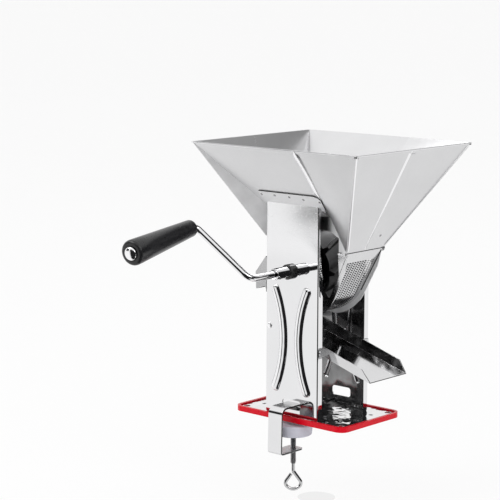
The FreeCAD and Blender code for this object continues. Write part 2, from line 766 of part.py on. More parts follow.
def ear_spots():
    z = (EAR_LOW_Z + EAR_HIGH_Z) / 2
    y = SIDE_OUTER_Y - FLANGE_RIVET_INSET
    return [(-y, z), (y, z)]


def ear_rivet_shanks():
    x = -SIDE_HALF_WIDTH
    return [rod(V(x - 3, y, z), V(x + 3, y, z), RIVET_R) for y, z in ear_spots()]


def x_rivet(x_low, x_high, y, z):
    shank = rod(V(x_low - RIVET_HEAD, y, z), V(x_high + RIVET_HEAD, y, z), RIVET_R)
    heads = [rod(V(x_low - RIVET_HEAD, y, z), V(x_low, y, z), RIVET_HEAD_R),
             rod(V(x_high, y, z), V(x_high + RIVET_HEAD, y, z), RIVET_HEAD_R)]
    return fused([shank] + heads)


def scraper_rivets():
    x = -SIDE_HALF_WIDTH
    return [x_rivet(x - SCRAPER_SHEET, x + SIDE_SHEET, y, z) for y, z in ear_spots()]


def peel_scraper():
    """Sloping blade that ends at the roller, with a hood, two cheeks and two fixing ears."""
    near = ROLLER_R + SCRAPER_GAP
    tip = around(near, HOOD_TOP_DEG)
    low = around(near + 2.0, HOOD_LOW_DEG)
    out_top = V(HOOD_OUT_X, 0, HOOD_OUT_TOP_Z)
    out_low = V(HOOD_OUT_X, 0, HOOD_OUT_LOW_Z)
    slope = (tip - out_top).normalize()
    up = V(-slope.z, 0, slope.x)
    s = SCRAPER_SHEET
    h = SCRAPER_HALF

    def at(point, y):
        return V(point.x, y, point.z)

    blade = prism([at(tip, -h), at(tip + up * s, -h), at(out_top + up * s, -h), at(out_top, -h)],
                  V(0, 2 * h, 0))
    drop = prism([at(out_top + up * s, -h), at(out_top, -h) + V(s, 0, 0), at(out_low, -h) + V(s, 0, 0),
                  at(out_low, -h)], V(0, 2 * h, 0))
    pieces = [blade, drop]
    for side in (-1, 1):
        y = side * h
        wall = V(0, -side * s, 0)
        cheek_r = ROLLER_R - 4
        cheek = [at(tip, y), at(out_top, y), at(out_low, y), at(low, y),
                 around(cheek_r, 192, y), around(cheek_r, 178, y)]
        pieces.append(prism(cheek, wall))
        x = -SIDE_HALF_WIDTH
        arm = box(x - 14, x, min(y, y - side * s), max(y, y - side * s), EAR_LOW_Z, EAR_HIGH_Z)
        edge = side * (SIDE_OUTER_Y - 0.5)
        ear = box(x - s, x, min(y - side * s, edge), max(y - side * s, edge), EAR_LOW_Z, EAR_HIGH_Z)
        pieces += [arm, ear]
    body = fused(pieces)
    return body.cut(ear_rivet_shanks())


# ---------------------------------------------------------------- juice chute

def chute_floor_z(x):
    return CHUTE_LIP_Z + (CHUTE_LIP_X - x) * CHUTE_SLOPE


def chute_half(x):
    share = (x - CHUTE_BACK_X) / (CHUTE_LIP_X - CHUTE_BACK_X)
    return CHUTE_HALF_BACK + (CHUTE_HALF_LIP - CHUTE_HALF_BACK) * share


def chute_wall_top(x):
    share = (x - CHUTE_BACK_X) / (CHUTE_CORNER_X - CHUTE_BACK_X)
    return CHUTE_WALL_BACK + (CHUTE_WALL_FRONT - CHUTE_WALL_BACK) * share


def chute_trough(inset):
    """Outer or inner block of the trough, without the front corner cut."""
    w = inset
    sections = []
    for x in (CHUTE_BACK_X + w, CHUTE_LIP_X + w):
        z = chute_floor_z(x) + w
        top = chute_floor_z(x) + chute_wall_top(x) + 2 * w
        flare = CHUTE_FLARE * (top - z) / CHUTE_WALL_BACK
        half = chute_half(x) - w
        sections.append([V(x, -half, z), V(x, half, z), V(x, half + flare, top), V(x, -half - flare, top)])
    return slab(sections[0], sections[1])


def chute_ear_z():
    return chute_floor_z(SIDE_HALF_WIDTH) + 2.0


def chute_spots():
    z = chute_ear_z() + CHUTE_EAR_HEIGHT / 2
    y = SIDE_OUTER_Y - FLANGE_RIVET_INSET
    return [(-y, z), (y, z)]


def chute_rivet_shanks():
    x = SIDE_HALF_WIDTH
    return [rod(V(x - 3, y, z), V(x + 3, y, z), RIVET_R) for y, z in chute_spots()]


def chute_rivets():
    x = SIDE_HALF_WIDTH
    return [x_rivet(x - SIDE_SHEET, x + CHUTE_SHEET, y, z) for y, z in chute_spots()]


def juice_chute():
    trough = chute_trough(0).cut(chute_trough(CHUTE_SHEET))
    x = CHUTE_CORNER_X
    top = chute_floor_z(x) + CHUTE_WALL_FRONT
    nose = prism([V(x, -60, top), V(CHUTE_LIP_X, -60, CHUTE_LIP_Z + CHUTE_SHEET), V(CHUTE_LIP_X + 20, -60, top),
                  V(CHUTE_LIP_X + 20, -60, top + 20), V(x, -60, top + 20)], V(0, 120, 0))
    pieces = [trough.cut(nose)]
    x = SIDE_HALF_WIDTH
    low = chute_ear_z()
    for side in (-1, 1):
        root = side * (chute_half(x) + 0.2)
        edge = side * CHUTE_EAR_END_Y
        pieces.append(box(x, x + CHUTE_SHEET, min(root, edge), max(root, edge), low, low + CHUTE_EAR_HEIGHT))
    return fused(pieces).cut(chute_rivet_shanks())


# ---------------------------------------------------------------- roller, shaft, bushes

def roller_section(y, turn):
    """Corner points of the drum's polygon with trapezoid vanes."""
    root = math.degrees(VANE_ROOT_WIDTH / 2 / ROLLER_CORE_R)
    tip = math.degrees(VANE_TIP_WIDTH / 2 / ROLLER_R)
    points = []
    for vane in range(ROLLER_VANES):
        centre = 360.0 * vane / ROLLER_VANES + turn
        points += [around(ROLLER_CORE_R, centre - root, y), around(ROLLER_R, centre - tip, y),
                   around(ROLLER_R, centre + tip, y), around(ROLLER_CORE_R, centre + root, y)]
    return points


def twisted_body(sections):
    """Solid through matching point loops, with two flat triangles in each bay."""
    faces = [Part.Face(Part.makePolygon(loop + [loop[0]])) for loop in (sections[0], sections[-1])]
    for low, high in zip(sections, sections[1:]):
        count = len(low)
        for i in range(count):
            j = (i + 1) % count
            faces += [ruled_face([low[i], low[j], high[j]]), ruled_face([low[i], high[j], high[i]])]
    return solid_from(faces)


def roller():
    half = ROLLER_HALF_LENGTH
    steps = 3
    body = twisted_body([roller_section(-half + 2 * half * k / steps, ROLLER_TWIST * k / steps)
                         for k in range(steps + 1)])
    cutters = [bush_hole(-half - 1, half + 1, SHAFT_R)]
    for y0, y1 in ((-half + ROLLER_END_SHEET, -ROLLER_WEB / 2), (ROLLER_WEB / 2, half - ROLLER_END_SHEET)):
        cutters.append(bush_hole(y0, y1, ROLLER_RIM_R).cut(bush_hole(y0, y1, ROLLER_HUB_R)))
    for y0, y1 in ((-half - 1, -half + ROLLER_END_SHEET), (half - ROLLER_END_SHEET, half + 1)):
        cutters.append(bush_hole(y0, y1, ROLLER_RIM_R))
    cutters.append(roller_pin())
    return body.cut(cutters)


def roller_end_plates():
    """Discs that close the hollow drum at both ends."""
    half = ROLLER_HALF_LENGTH
    disc = bush_hole(half - ROLLER_END_SHEET, half, ROLLER_RIM_R).cut(bush_hole(0, half + 1, SHAFT_R))
    return [mirrored(disc), disc]


def roller_pin():
    y = ROLLER_HALF_LENGTH / 2
    return rod(V(AXIS_X, y, AXIS_Z - ROLLER_HUB_R), V(AXIS_X, y, AXIS_Z + ROLLER_HUB_R), CRANK_PIN_R)


def rear_end_y():
    return SIDE_OUTER_Y + BUSH_FLANGE + BUSH_END_GAP + CIRCLIP_THICKNESS + SHAFT_TAIL


def roller_shaft():
    shaft = bush_hole(CRANK_JOIN_Y + 0.5, rear_end_y(), SHAFT_R)
    groove_y = SIDE_OUTER_Y + BUSH_FLANGE + BUSH_END_GAP
    groove = bush_hole(groove_y, groove_y + CIRCLIP_THICKNESS, SHAFT_R + 1)
    groove = groove.cut(bush_hole(groove_y, groove_y + CIRCLIP_THICKNESS, SHAFT_R - 0.6))
    return shaft.cut([groove, roller_pin()] + crank_pins())


def shaft_circlip():
    y = SIDE_OUTER_Y + BUSH_FLANGE + BUSH_END_GAP
    clip = bush_hole(y, y + CIRCLIP_THICKNESS, CIRCLIP_R)
    clip = clip.cut(bush_hole(y, y + CIRCLIP_THICKNESS, SHAFT_R - 0.6))
    gap = box(AXIS_X - 1.6, AXIS_X + 1.6, y - 1, y + 3, AXIS_Z - CIRCLIP_R - 1, AXIS_Z)
    return clip.cut(gap)


def front_bearing_bush():
    inner_end = -ROLLER_HALF_LENGTH - BUSH_END_GAP
    barrel = bush_hole(-SIDE_OUTER_Y - BUSH_FLANGE, inner_end, BUSH_R)
    flange = bush_hole(-SIDE_OUTER_Y - BUSH_FLANGE, -SIDE_OUTER_Y, BUSH_FLANGE_R)
    bush = fused([barrel, flange])
    rim = [e for e in bush.Edges if isinstance(e.Curve, Part.Circle)
           and abs(e.Curve.Radius - BUSH_FLANGE_R) < 0.01 and e.CenterOfMass.y < -SIDE_OUTER_Y - 1]
    bush = bush.makeChamfer(BUSH_CHAMFER, rim)
    return bush.cut(bush_hole(-SIDE_OUTER_Y - BUSH_FLANGE - 1, inner_end + 1, SHAFT_R + RUNNING_CLEARANCE))


# ---------------------------------------------------------------- crank

def sleeve_pin(y):
    reach = CRANK_DIR * (SLEEVE_R + CRANK_PIN_PROUD)
    return rod(V(AXIS_X, y, AXIS_Z) - reach, V(AXIS_X, y, AXIS_Z) + reach, CRANK_PIN_R)


def crank_pins():
    return [sleeve_pin(SLEEVE_START_Y - CRANK_PIN_INSET), sleeve_pin(SLEEVE_END_Y + CRANK_PIN_INSET)]


def crank_sleeve():
    sleeve = bush_hole(SLEEVE_END_Y, SLEEVE_START_Y, SLEEVE_R)
    rims = [e for e in sleeve.Edges if isinstance(e.Curve, Part.Circle)]
    sleeve = sleeve.makeChamfer(SLEEVE_CHAMFER, rims)
    cutters = [bush_hole(CRANK_JOIN_Y, SLEEVE_START_Y + 1, SHAFT_R),
               bush_hole(SLEEVE_END_Y - 1, CRANK_JOIN_Y, CRANK_ROD_R),
               bush_hole(SLEEVE_END_Y - 1, SLEEVE_END_Y + SLEEVE_MOUTH, SLEEVE_MOUTH_R)]
    return sleeve.cut(cutters + crank_pins())


def crank_plane(axial, radial):
    """Point in the crank's own plane: length out along the axis, and radius."""
    return V(AXIS_X, -axial, AXIS_Z) + CRANK_DIR * radial


def crank_elbow():
    return crank_plane(-CRANK_BEND_Y + CRANK_OFFSET, CRANK_RADIUS)


def grip_dir():
    a = math.radians(GRIP_LEAN)
    return V(0, -math.cos(a), 0) - CRANK_DIR * math.sin(a)


def grip_at(along):
    return crank_elbow() + grip_dir() * (GRIP_START + along)


def bent_rod(points, radius, bends):
    """Round rod along straight runs, with an arc of the given radius at each corner."""
    edges = []
    start = points[0]
    for before, corner, after, bend_r in zip(points, points[1:], points[2:], bends):
        u = (before - corner).normalize()
        w = (after - corner).normalize()
        half = math.acos(max(-1.0, min(1.0, u.dot(w)))) / 2
        reach = bend_r / math.tan(half)
        a = corner + u * reach
        b = corner + w * reach
        to_centre = (u + w).normalize()
        middle = corner + to_centre * (bend_r / math.sin(half) - bend_r)
        edges += [line(start, a), Part.Arc(a, middle, b).toShape()]
        start = b
    edges.append(line(start, points[-1]))
    path = Part.Wire(edges)
    section = Part.Wire(Part.Circle(points[0], points[1] - points[0], radius).toShape())
    return path.makePipeShell([section], True, False)


def crank_rod():
    end = grip_at(GRIP_LENGTH + GRIP_PLAY + CAP_HEIGHT * 0.6)
    points = [V(AXIS_X, CRANK_JOIN_Y - 0.5, AXIS_Z), V(AXIS_X, CRANK_BEND_Y, AXIS_Z), crank_elbow(), end]
    return bent_rod(points, CRANK_ROD_R, [CRANK_BEND_R, GRIP_BEND_R]).cut(crank_pins())


def on_grip_axis(shape, along):
    shape.Placement = FreeCAD.Placement(grip_at(along), FreeCAD.Rotation(V(0, 0, 1), grip_dir()))
    return shape


def turned(outline, bore_r):
    """Solid of revolution about Z with a bore, from (radius, height) points."""
    points = [V(0, 0, outline[0][1])] + [V(r, 0, h) for r, h in outline] + [V(0, 0, outline[-1][1])]
    body = Part.Face(Part.makePolygon(points + [points[0]])).revolve(V(0, 0, 0), V(0, 0, 1), 360)
    low = outline[0][1] - 1
    high = outline[-1][1] + 1
    return body.cut(Part.makeCylinder(bore_r, high - low, V(0, 0, low)))


def grip():
    length = GRIP_LENGTH
    edge = GRIP_EDGE
    neck = GRIP_R_OUTER - 0.2
    outline = [(GRIP_R_INNER - edge, 0), (GRIP_R_INNER - edge * 0.4, edge * 0.3), (GRIP_R_INNER, edge)]
    rise = GRIP_R_OUTER - GRIP_R_INNER
    for share in (0.3, 0.6, 0.85):
        swell = math.sin(share * math.pi / 2) ** 1.2
        outline.append((GRIP_R_INNER + rise * swell, length * share))
    ring_at = length - 9
    outline += [(neck, ring_at - 1), (neck - GRIP_GROOVE, ring_at), (neck, ring_at + 1),
                (neck, length - edge * 1.8), (GRIP_R_OUTER - edge * 0.7, length - edge * 0.5),
                (GRIP_R_OUTER - edge * 1.8, length)]
    return on_grip_axis(turned(outline, CRANK_ROD_R + RUNNING_CLEARANCE), 0)


def grip_cap():
    outline = [(CAP_R, 0), (CAP_R, 0.9)]
    for degrees in (25, 50, 70):
        a = math.radians(degrees)
        outline.append((CAP_R * math.cos(a), 0.9 + (CAP_HEIGHT - 0.9) * math.sin(a)))
    outline.append((0.8, CAP_HEIGHT))
    cap = turned(outline, 0.2)
    socket = Part.makeCylinder(CRANK_ROD_R, CAP_HEIGHT * 0.6, V(0, 0, 0))
    fill = Part.makeCylinder(0.4, CAP_HEIGHT * 0.35, V(0, 0, CAP_HEIGHT * 0.62))
    cap = cap.fuse(fill).cut(socket)
    return on_grip_axis(cap, GRIP_LENGTH + GRIP_PLAY)


# ---------------------------------------------------------------- clamp

def clamp_bracket():
    """Bent strap: hook inside the crank side plate, top arm, back and lower arm."""
    s = STRAP_SHEET
    route = [V(CLAMP_X, HOOK_Y, BASE_TOP_Z), V(CLAMP_X, HOOK_Y, STRAP_TOP_Z),
             V(CLAMP_X, STRAP_TOP_Y, STRAP_TOP_Z), V(CLAMP_X, STRAP_LOW_Y, STRAP_LOW_Z),
             V(CLAMP_X, ARM_END_Y, STRAP_LOW_Z)]
    bends = [STRAP_BEND_R, STRAP_TOP_BEND_R, STRAP_BEND_R]
    inner = offset_route(route, s)
    half_width = V(STRAP_WIDTH / 2, 0, 0)
    strap = prism([p - half_width for p in route + inner[::-1]], half_width * 2)
    for line_points, thinner in ((route, 0), (inner, s)):
        for corner, bend_r in zip(line_points[1:4], bends):
            edges = [e for e in strap.Edges if e.BoundBox.XLength > STRAP_WIDTH / 2
                     and (e.CenterOfMass - corner).Length < 0.01]
            strap = strap.makeFillet(bend_r - thinner, edges)
    ends = [e for e in strap.Edges if e.BoundBox.ZLength > s / 2 and e.BoundBox.XLength < 0.01
            and abs(e.CenterOfMass.y - ARM_END_Y) < 0.01]
    strap = strap.makeFillet(STRAP_END_R, ends)
    hole = z_rod(CLAMP_X, SCREW_Y, STRAP_LOW_Z - 1, STRAP_LOW_Z + s + 1, SCREW_R + RUNNING_CLEARANCE)
    return strap.cut(hole)


def offset_route(route, thickness):
    """Inner line of a bent strap, to the left of the route seen from +X."""
    moved = []
    count = len(route)
    for i, point in enumerate(route):
        normals = []
        for a, b in ((i - 1, i), (i, i + 1)):
            if a < 0 or b >= count:
                continue
            d = (route[b] - route[a]).normalize()
            normals.append(V(0, -d.z, d.y))
        if len(normals) == 1:
            moved.append(point + normals[0] * thickness)
        else:
            total = normals[0] + normals[1]
            moved.append(point + total * (2 * thickness / total.dot(total)))
    return moved


def eye_route():
    """Centre line of the plain rod: stem, neck and a rounded three cornered eye."""
    half = EYE_WIDTH / 2 - SCREW_ROD_R
    low = EYE_LOW_Z + SCREW_ROD_R
    neck = V(0, 0, EYE_TOP_Z)
    right = V(half * 1.22, 0, low + EYE_BEND_R)
    left = V(-half * 1.22, 0, low + EYE_BEND_R)
    bottom = V(0, 0, low - EYE_BEND_R * 0.36)
    return [V(0, 0, THREAD_LOW_Z + 1), neck, right, bottom, left, left + (neck - left) * 0.8]


def clamp_screw():
    """Threaded rod whose plain lower end is bent into an eye."""
    top_z = PAD_TOP_Z - PAD_HEIGHT + PAD_SOCKET_DEPTH - PAD_SOCKET_GAP
    thread = z_rod(0, 0, THREAD_LOW_Z, top_z, SCREW_R)
    rims = [e for e in thread.Edges if isinstance(e.Curve, Part.Circle)]
    thread = thread.makeChamfer(SCREW_CHAMFER, rims)
    bends = [2 * SCREW_ROD_R, EYE_BEND_R, EYE_BEND_R * 1.6, EYE_BEND_R]
    screw = thread.fuse(bent_rod(eye_route(), SCREW_ROD_R, bends))
    screw.rotate(V(0, 0, 0), V(0, 0, 1), EYE_TURN)
    screw.translate(V(CLAMP_X, SCREW_Y, 0))
    return screw


def clamp_pad():
    low = PAD_TOP_Z - PAD_HEIGHT
    profile = [V(0, 0, low), V(PAD_R - PAD_EDGE - PAD_TAPER, 0, low), V(PAD_R - PAD_TAPER, 0, low + PAD_EDGE),
               V(PAD_R, 0, PAD_TOP_Z - PAD_EDGE), V(PAD_R - PAD_EDGE, 0, PAD_TOP_Z), V(0, 0, PAD_TOP_Z)]
    pad = Part.Face(Part.makePolygon(profile + [profile[0]])).revolve(V(0, 0, 0), V(0, 0, 1), 360)
    pad.translate(V(CLAMP_X, SCREW_Y, 0))
    return pad.cut(z_rod(CLAMP_X, SCREW_Y, low - 1, low + PAD_SOCKET_DEPTH, SCREW_R + RUNNING_CLEARANCE))


# ---------------------------------------------------------------- write every piece

def main():
    os.makedirs("parts", exist_ok=True)
    side = front_side_plate()
    half = hopper_half()
    bush = front_bearing_bush()
    save("base_plate", base_plate())
    save("base_trim", base_trim())
    save("front_side_plate", side)
    save("rear_side_plate", mirrored(side))
    save("foot_rivets", foot_rivets())
    save("hopper_front_half", half)
    save("hopper_rear_half", fused([mirrored(half), seam_lap()]))
    save("juice_chute", juice_chute())
    save("chute_rivets", chute_rivets())
    save("peel_scraper", peel_scraper())
    save("scraper_rivets", scraper_rivets())
    save("front_bearing_bush", bush)
    save("rear_bearing_bush", mirrored(bush))
    save("screen_hanger_rod", screen_hanger_rod())
    save("spring_anchor_rod", spring_anchor_rod())
    save("screen_springs", [screen_spring(-SPRING_Y), screen_spring(SPRING_Y)])
    save("clamp_bracket", clamp_bracket())
    save("roller", roller())
    save("roller_end_plates", roller_end_plates())
    save("roller_shaft", roller_shaft())
    save("roller_pin", roller_pin())
    save("shaft_circlip", shaft_circlip())
    save("crank_sleeve", crank_sleeve())
    save("crank_pins", crank_pins())
    save("crank_rod", crank_rod())
    save("grip_cap", grip_cap())
    save("grip", grip())
    save("perforated_screen", perforated_screen())
    save("clamp_pad", clamp_pad())
    save("clamp_screw", clamp_screw())


main()
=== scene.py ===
import json
import math

import bmesh
import bpy
from mathutils import Matrix, Vector


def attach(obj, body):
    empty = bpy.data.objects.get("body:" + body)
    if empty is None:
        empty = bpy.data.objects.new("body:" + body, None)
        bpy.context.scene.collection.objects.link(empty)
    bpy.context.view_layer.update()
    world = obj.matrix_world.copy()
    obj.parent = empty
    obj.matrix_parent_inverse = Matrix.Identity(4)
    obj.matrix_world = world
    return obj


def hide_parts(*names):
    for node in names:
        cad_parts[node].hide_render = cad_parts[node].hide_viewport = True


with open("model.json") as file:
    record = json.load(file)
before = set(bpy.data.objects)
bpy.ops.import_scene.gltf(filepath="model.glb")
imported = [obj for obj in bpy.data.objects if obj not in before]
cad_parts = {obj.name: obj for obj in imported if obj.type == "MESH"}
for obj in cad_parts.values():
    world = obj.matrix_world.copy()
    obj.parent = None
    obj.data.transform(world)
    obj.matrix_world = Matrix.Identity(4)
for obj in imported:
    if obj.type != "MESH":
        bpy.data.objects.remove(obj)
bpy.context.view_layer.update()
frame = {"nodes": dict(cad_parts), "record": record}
NODES = frame["nodes"]
SLOT = {s["node"]: s["material_slot"] for s in frame["record"]["subparts"]}
MM = 0.001

# Lengths are in millimetres in the frame of the part and angles in degrees. Names that end in _M
# are in metres. Each pair of side and word stands for one long side of the tool.
SIDES = ((-1, "front"), (1, "rear"))

# Side plates, funnel and base
SIDE_OUTER_Y, SIDE_INNER_Y, SIDE_SHEET = 41.5, 40.3, 1.2
SIDE_HALF_WIDTH, SIDE_BEND_Z, SIDE_BEND_R, SIDE_INNER_BEND_R = 34.9, 226.0, 1.7, 0.6
HOPPER_SHEET, CHUTE_SHEET, SCRAPER_SHEET, CLAMP_SHEET, BASE_SHEET = 1.0, 1.0, 1.0, 2.0, 1.6
RIM_X, RIM_Z, SHELL_HALF_WIDTH = 124.9, 287.8, 93.3
END_RISE, END_RUN, END_SLOPE = 107.0, 62.0, 0.5795
SEAM_TOP_Y, SEAM_LOW_Y = -5.55, -1.8
BASE_TOP_Z, HOLE_X, HOLE_Y, DRAIN_X, DRAIN_Y = 3.4, 64.3, 38.7, 57.0, 19.0

# Roller, bushes and screen
AXIS_X, AXIS_Z = -3.0, 156.0
ROLLER_R, ROLLER_CORE_R, ROLLER_VALLEY_R, ROLLER_HALF = 45.0, 39.0, 38.25, 23.4
VANES, VANE_TWIST, VANE_ROOT_HALF, VANE_TIP_HALF = 10, 26.0, 3.0, 1.3
SHAFT_R, BUSH_R, BUSH_FLANGE_R, BUSH_FLANGE, BUSH_END_GAP = 4.0, 7.0, 7.9, 5.0, 0.6
SCREEN_SHEET, SCREEN_R, SCREEN_TOP_HALF, SCREEN_HALF = 0.8, 47.0, 28.2, 24.8
SCREEN_END_DEG, SCREEN_FLANGE, SCREEN_EAR_REACH, SCREEN_TAIL = -104.0, 5.0, 11.5, 7.0
SLIT_PITCH, SLIT_ROW, SLIT_FIRST, SLIT_MARGIN = 4.1, 2.45, 10.8, 3.2
SLIT_HALF_LENGTH, SLIT_HALF_WIDTH, SLIT_LEAN = 1.95, 0.84, math.atan2(1.1, 3.3)
LIP_X, LIP_Z, LIP_GAP, BARREL_R, BARREL_HALF = 62.7, 180.8, 0.6, 1.9, 29.2
SPRING_R, SPRING_WIRE, SPRING_Y, SPRING_COIL_SIDES = 2.8, 0.8, 17.0, 14
ANCHOR_X, ANCHOR_Z, ANCHOR_R, ANCHOR_HEAD_R, ANCHOR_HEAD = -30.5, 96.5, 2.0, 3.6, 1.2

# Crank and grip
SLEEVE_R, SLEEVE_LENGTH, SLEEVE_COLLAR_R, CRANK_ROD_R, ROD_IN_SLEEVE = 6.1, 19.4, 5.0, 3.65, 10.5
CRANK_BEND_Y, CRANK_RADIUS, CRANK_OFFSET, CRANK_ANGLE = -103.0, 77.0, 16.8, 140.0
CRANK_BEND_R, ELBOW_R = 11.0, 6.4
GRIP_LEAN, GRIP_START, GRIP_LENGTH, GRIP_R_INNER, GRIP_R_OUTER = 11.4, 6.6, 101.0, 8.8, 12.9
CAP_R, CAP_HEIGHT, CAP_SKIRT, CAP_GAP = 6.8, 3.6, 0.7, 0.4

# Clamp
SCREW_Y, SCREW_R, SCREW_ROD_R, THREAD_LOW_Z, THREAD_TOP_Z = -38.0, 3.0, 1.9, -47.0, -7.3
THREAD_PITCH, THREAD_ROOT_R = 1.0, 2.42
EYE_TOP_Z, EYE_LOW_Z, EYE_WIDTH, EYE_BEND_R, EYE_TURN = -55.0, -76.2, 20.2, 5.0, 42.0
PAD_R, PAD_TOP_Z, PAD_HEIGHT, PAD_EDGE = 20.2, -3.0, 12.0, 1.5

# Camera and stage
VIEW_AZIMUTH, VIEW_ELEVATION, VIEW_ROLL = 42.13, 8.99, 0.09
CAMERA_PLACE_M, CAMERA_FAR_M = (1.1605, -1.3887, 0.4599), 50.0
CAMERA_LENS, CAMERA_SENSOR = 126.886, 36.0
FLOOR_Z_M = -0.0918


def link(thing):
    bpy.context.scene.collection.objects.link(thing)


# -------------------- camera

def make_camera():
    """Camera that sees the object as the photo does."""
    azimuth, elevation, roll = map(math.radians, (VIEW_AZIMUTH, VIEW_ELEVATION, VIEW_ROLL))
    back = Vector((math.sin(azimuth) * math.cos(elevation),
                   -math.cos(azimuth) * math.cos(elevation), math.sin(elevation)))
    right = Vector((math.cos(azimuth), math.sin(azimuth), 0))
    up = back.cross(right)
    turned_right = right * math.cos(roll) + up * math.sin(roll)
    turned_up = up * math.cos(roll) - right * math.sin(roll)
    data = bpy.data.cameras.new("camera")
    data.sensor_width = CAMERA_SENSOR
    data.lens = CAMERA_LENS
    data.clip_end = CAMERA_FAR_M
    camera = bpy.data.objects.new("camera", data)
    turn = Matrix((turned_right, turned_up, back)).transposed().to_4x4()
    camera.matrix_world = Matrix.Translation(CAMERA_PLACE_M) @ turn
    link(camera)
    bpy.context.scene.camera = camera


# -------------------- material tools

def new_node(tree, kind, **settings):
    node = tree.nodes.new("ShaderNode" + kind)
    for key, value in settings.items():
        setattr(node, key, value)
    return node


def new_material(name, **sockets):
    material = bpy.data.materials.new(name)
    material.use_nodes = True
    shader = material.node_tree.nodes["Principled BSDF"]
    for key, value in sockets.items():
        shader.inputs[key.replace("_", " ")].default_value = value
    return material, material.node_tree, shader


def noise(tree, scale, detail, stretch=(1, 1, 1)):
    """Noise over the piece's own coordinates."""
    mapping, texture = new_node(tree, "Mapping"), new_node(tree, "TexNoise")
    mapping.inputs["Scale"].default_value = stretch
    texture.inputs["Scale"].default_value = scale
    texture.inputs["Detail"].default_value = detail
    tree.links.new(new_node(tree, "TexCoord").outputs["Object"], mapping.inputs["Vector"])
    tree.links.new(mapping.outputs["Vector"], texture.inputs["Vector"])
    return texture.outputs["Fac"]


def remap(tree, value, low, high, from_low=0.3, from_high=0.7):
    """Range of a value turned into another. By default it starts from that of a noise."""
    node = new_node(tree, "MapRange")
    for key, number in (("From Min", from_low), ("From Max", from_high),
                        ("To Min", low), ("To Max", high)):
        node.inputs[key].default_value = number
    tree.links.new(value, node.inputs["Value"])
    return node.outputs["Result"]


def math_node(tree, operation, a, b, clamp=False):
    node = new_node(tree, "Math", operation=operation, use_clamp=clamp)
    for socket, value in zip(node.inputs, (a, b)):
        if isinstance(value, (int, float)):
            socket.default_value = value
        else:
            tree.links.new(value, socket)
    return node.outputs[0]


def height_of(tree, vector):
    split = new_node(tree, "SeparateXYZ")
    tree.links.new(vector, split.inputs[0])
    return split.outputs["Z"]


def tint(tree, value, dark, light):
    node = new_node(tree, "Mix", data_type="RGBA")
    node.inputs["A"].default_value = (*dark, 1)
    node.inputs["B"].default_value = (*light, 1)
    tree.links.new(value, node.inputs["Factor"])
    return node.outputs["Result"]


def clouds(tree, scale):
    return remap(tree, noise(tree, scale, 4), 0, 1)


def bump(tree, shader, value, strength, distance=0.0002):
    node = new_node(tree, "Bump")
    node.inputs["Strength"].default_value = strength
    node.inputs["Distance"].default_value = distance
    tree.links.new(value, node.inputs["Height"])
    tree.links.new(node.outputs["Normal"], shader.inputs["Normal"])


def grey(v):
    return (v, v, v * 1.01)


def surface(name, dark, light, rough, cloud_scale, fine_scale, detail, relief,
            stretch=(1, 1, 1), waves=None, **sockets):
    """Clouds of colour, uneven roughness, and the relief of the grain or of longer waves."""
    material, tree, shader = new_material(name, **sockets)
    tree.links.new(tint(tree, clouds(tree, cloud_scale), dark, light), shader.inputs["Base Color"])
    fine = noise(tree, fine_scale, detail, stretch)
    tree.links.new(remap(tree, fine, *rough), shader.inputs["Roughness"])
    if waves:
        scale, distance = waves
        bump(tree, shader, noise(tree, scale, 2), relief, distance)
    else:
        bump(tree, shader, fine, relief)
    return material


def steel(name, dark, light, rough_low, rough_high, relief=0.02, scale=900, stretch=(1, 1, 1)):
    return surface(name, grey(dark), grey(light), (rough_low, rough_high), 18, scale, 2, relief,
                   stretch, Metallic=1.0)


def plastic(name, dark, light, rough_low, rough_high, **sockets):
    return surface(name, dark, light, (rough_low, rough_high), 40, 600, 3, 0.05, **sockets)


def wavy_steel(name, dark, light, rough_low, rough_high, scale, distance):
    """Polished sheet that is not quite flat."""
    return surface(name, grey(dark), grey(light), (rough_low, rough_high), 30, 900, 2, 0.9,
                   waves=(scale, distance), Metallic=1.0)


def matt_steel(name, dark, light):
    material, tree, shader = new_material(name, Metallic=0.35, Roughness=0.6)
    colour = tint(tree, clouds(tree, 60), grey(dark), grey(light))
    tree.links.new(colour, shader.inputs["Base Color"])
    return material


def plate_finish(name, dark, light, rough_low, rough_high):
    """Polished steel that turns to satin above the crank, where its colour is paler as painted
    light that makes up for the dimmer satin reflection.
    """
    start, rough_end, brightening_end = 0.166, 0.196, 0.200
    material, tree, shader = new_material(name, Metallic=1.0)
    height = height_of(tree, new_node(tree, "TexCoord").outputs["Object"])
    # Painted light: the colour is lifted with height above the crank.
    painted_brightening = remap(tree, height, 0.0, 4.6, start, brightening_end)
    blend = tint(tree, math_node(tree, "ADD", clouds(tree, 18), painted_brightening), grey(dark), grey(light))
    blend.node.clamp_factor = False
    tree.links.new(blend, shader.inputs["Base Color"])
    fine = noise(tree, 900, 2)
    satin = remap(tree, height, 0.0, 0.22, start, rough_end)
    rough = math_node(tree, "ADD", remap(tree, fine, rough_low, rough_high), satin)
    tree.links.new(rough, shader.inputs["Roughness"])
    bump(tree, shader, fine, 0.006)
    return material


# -------------------- materials

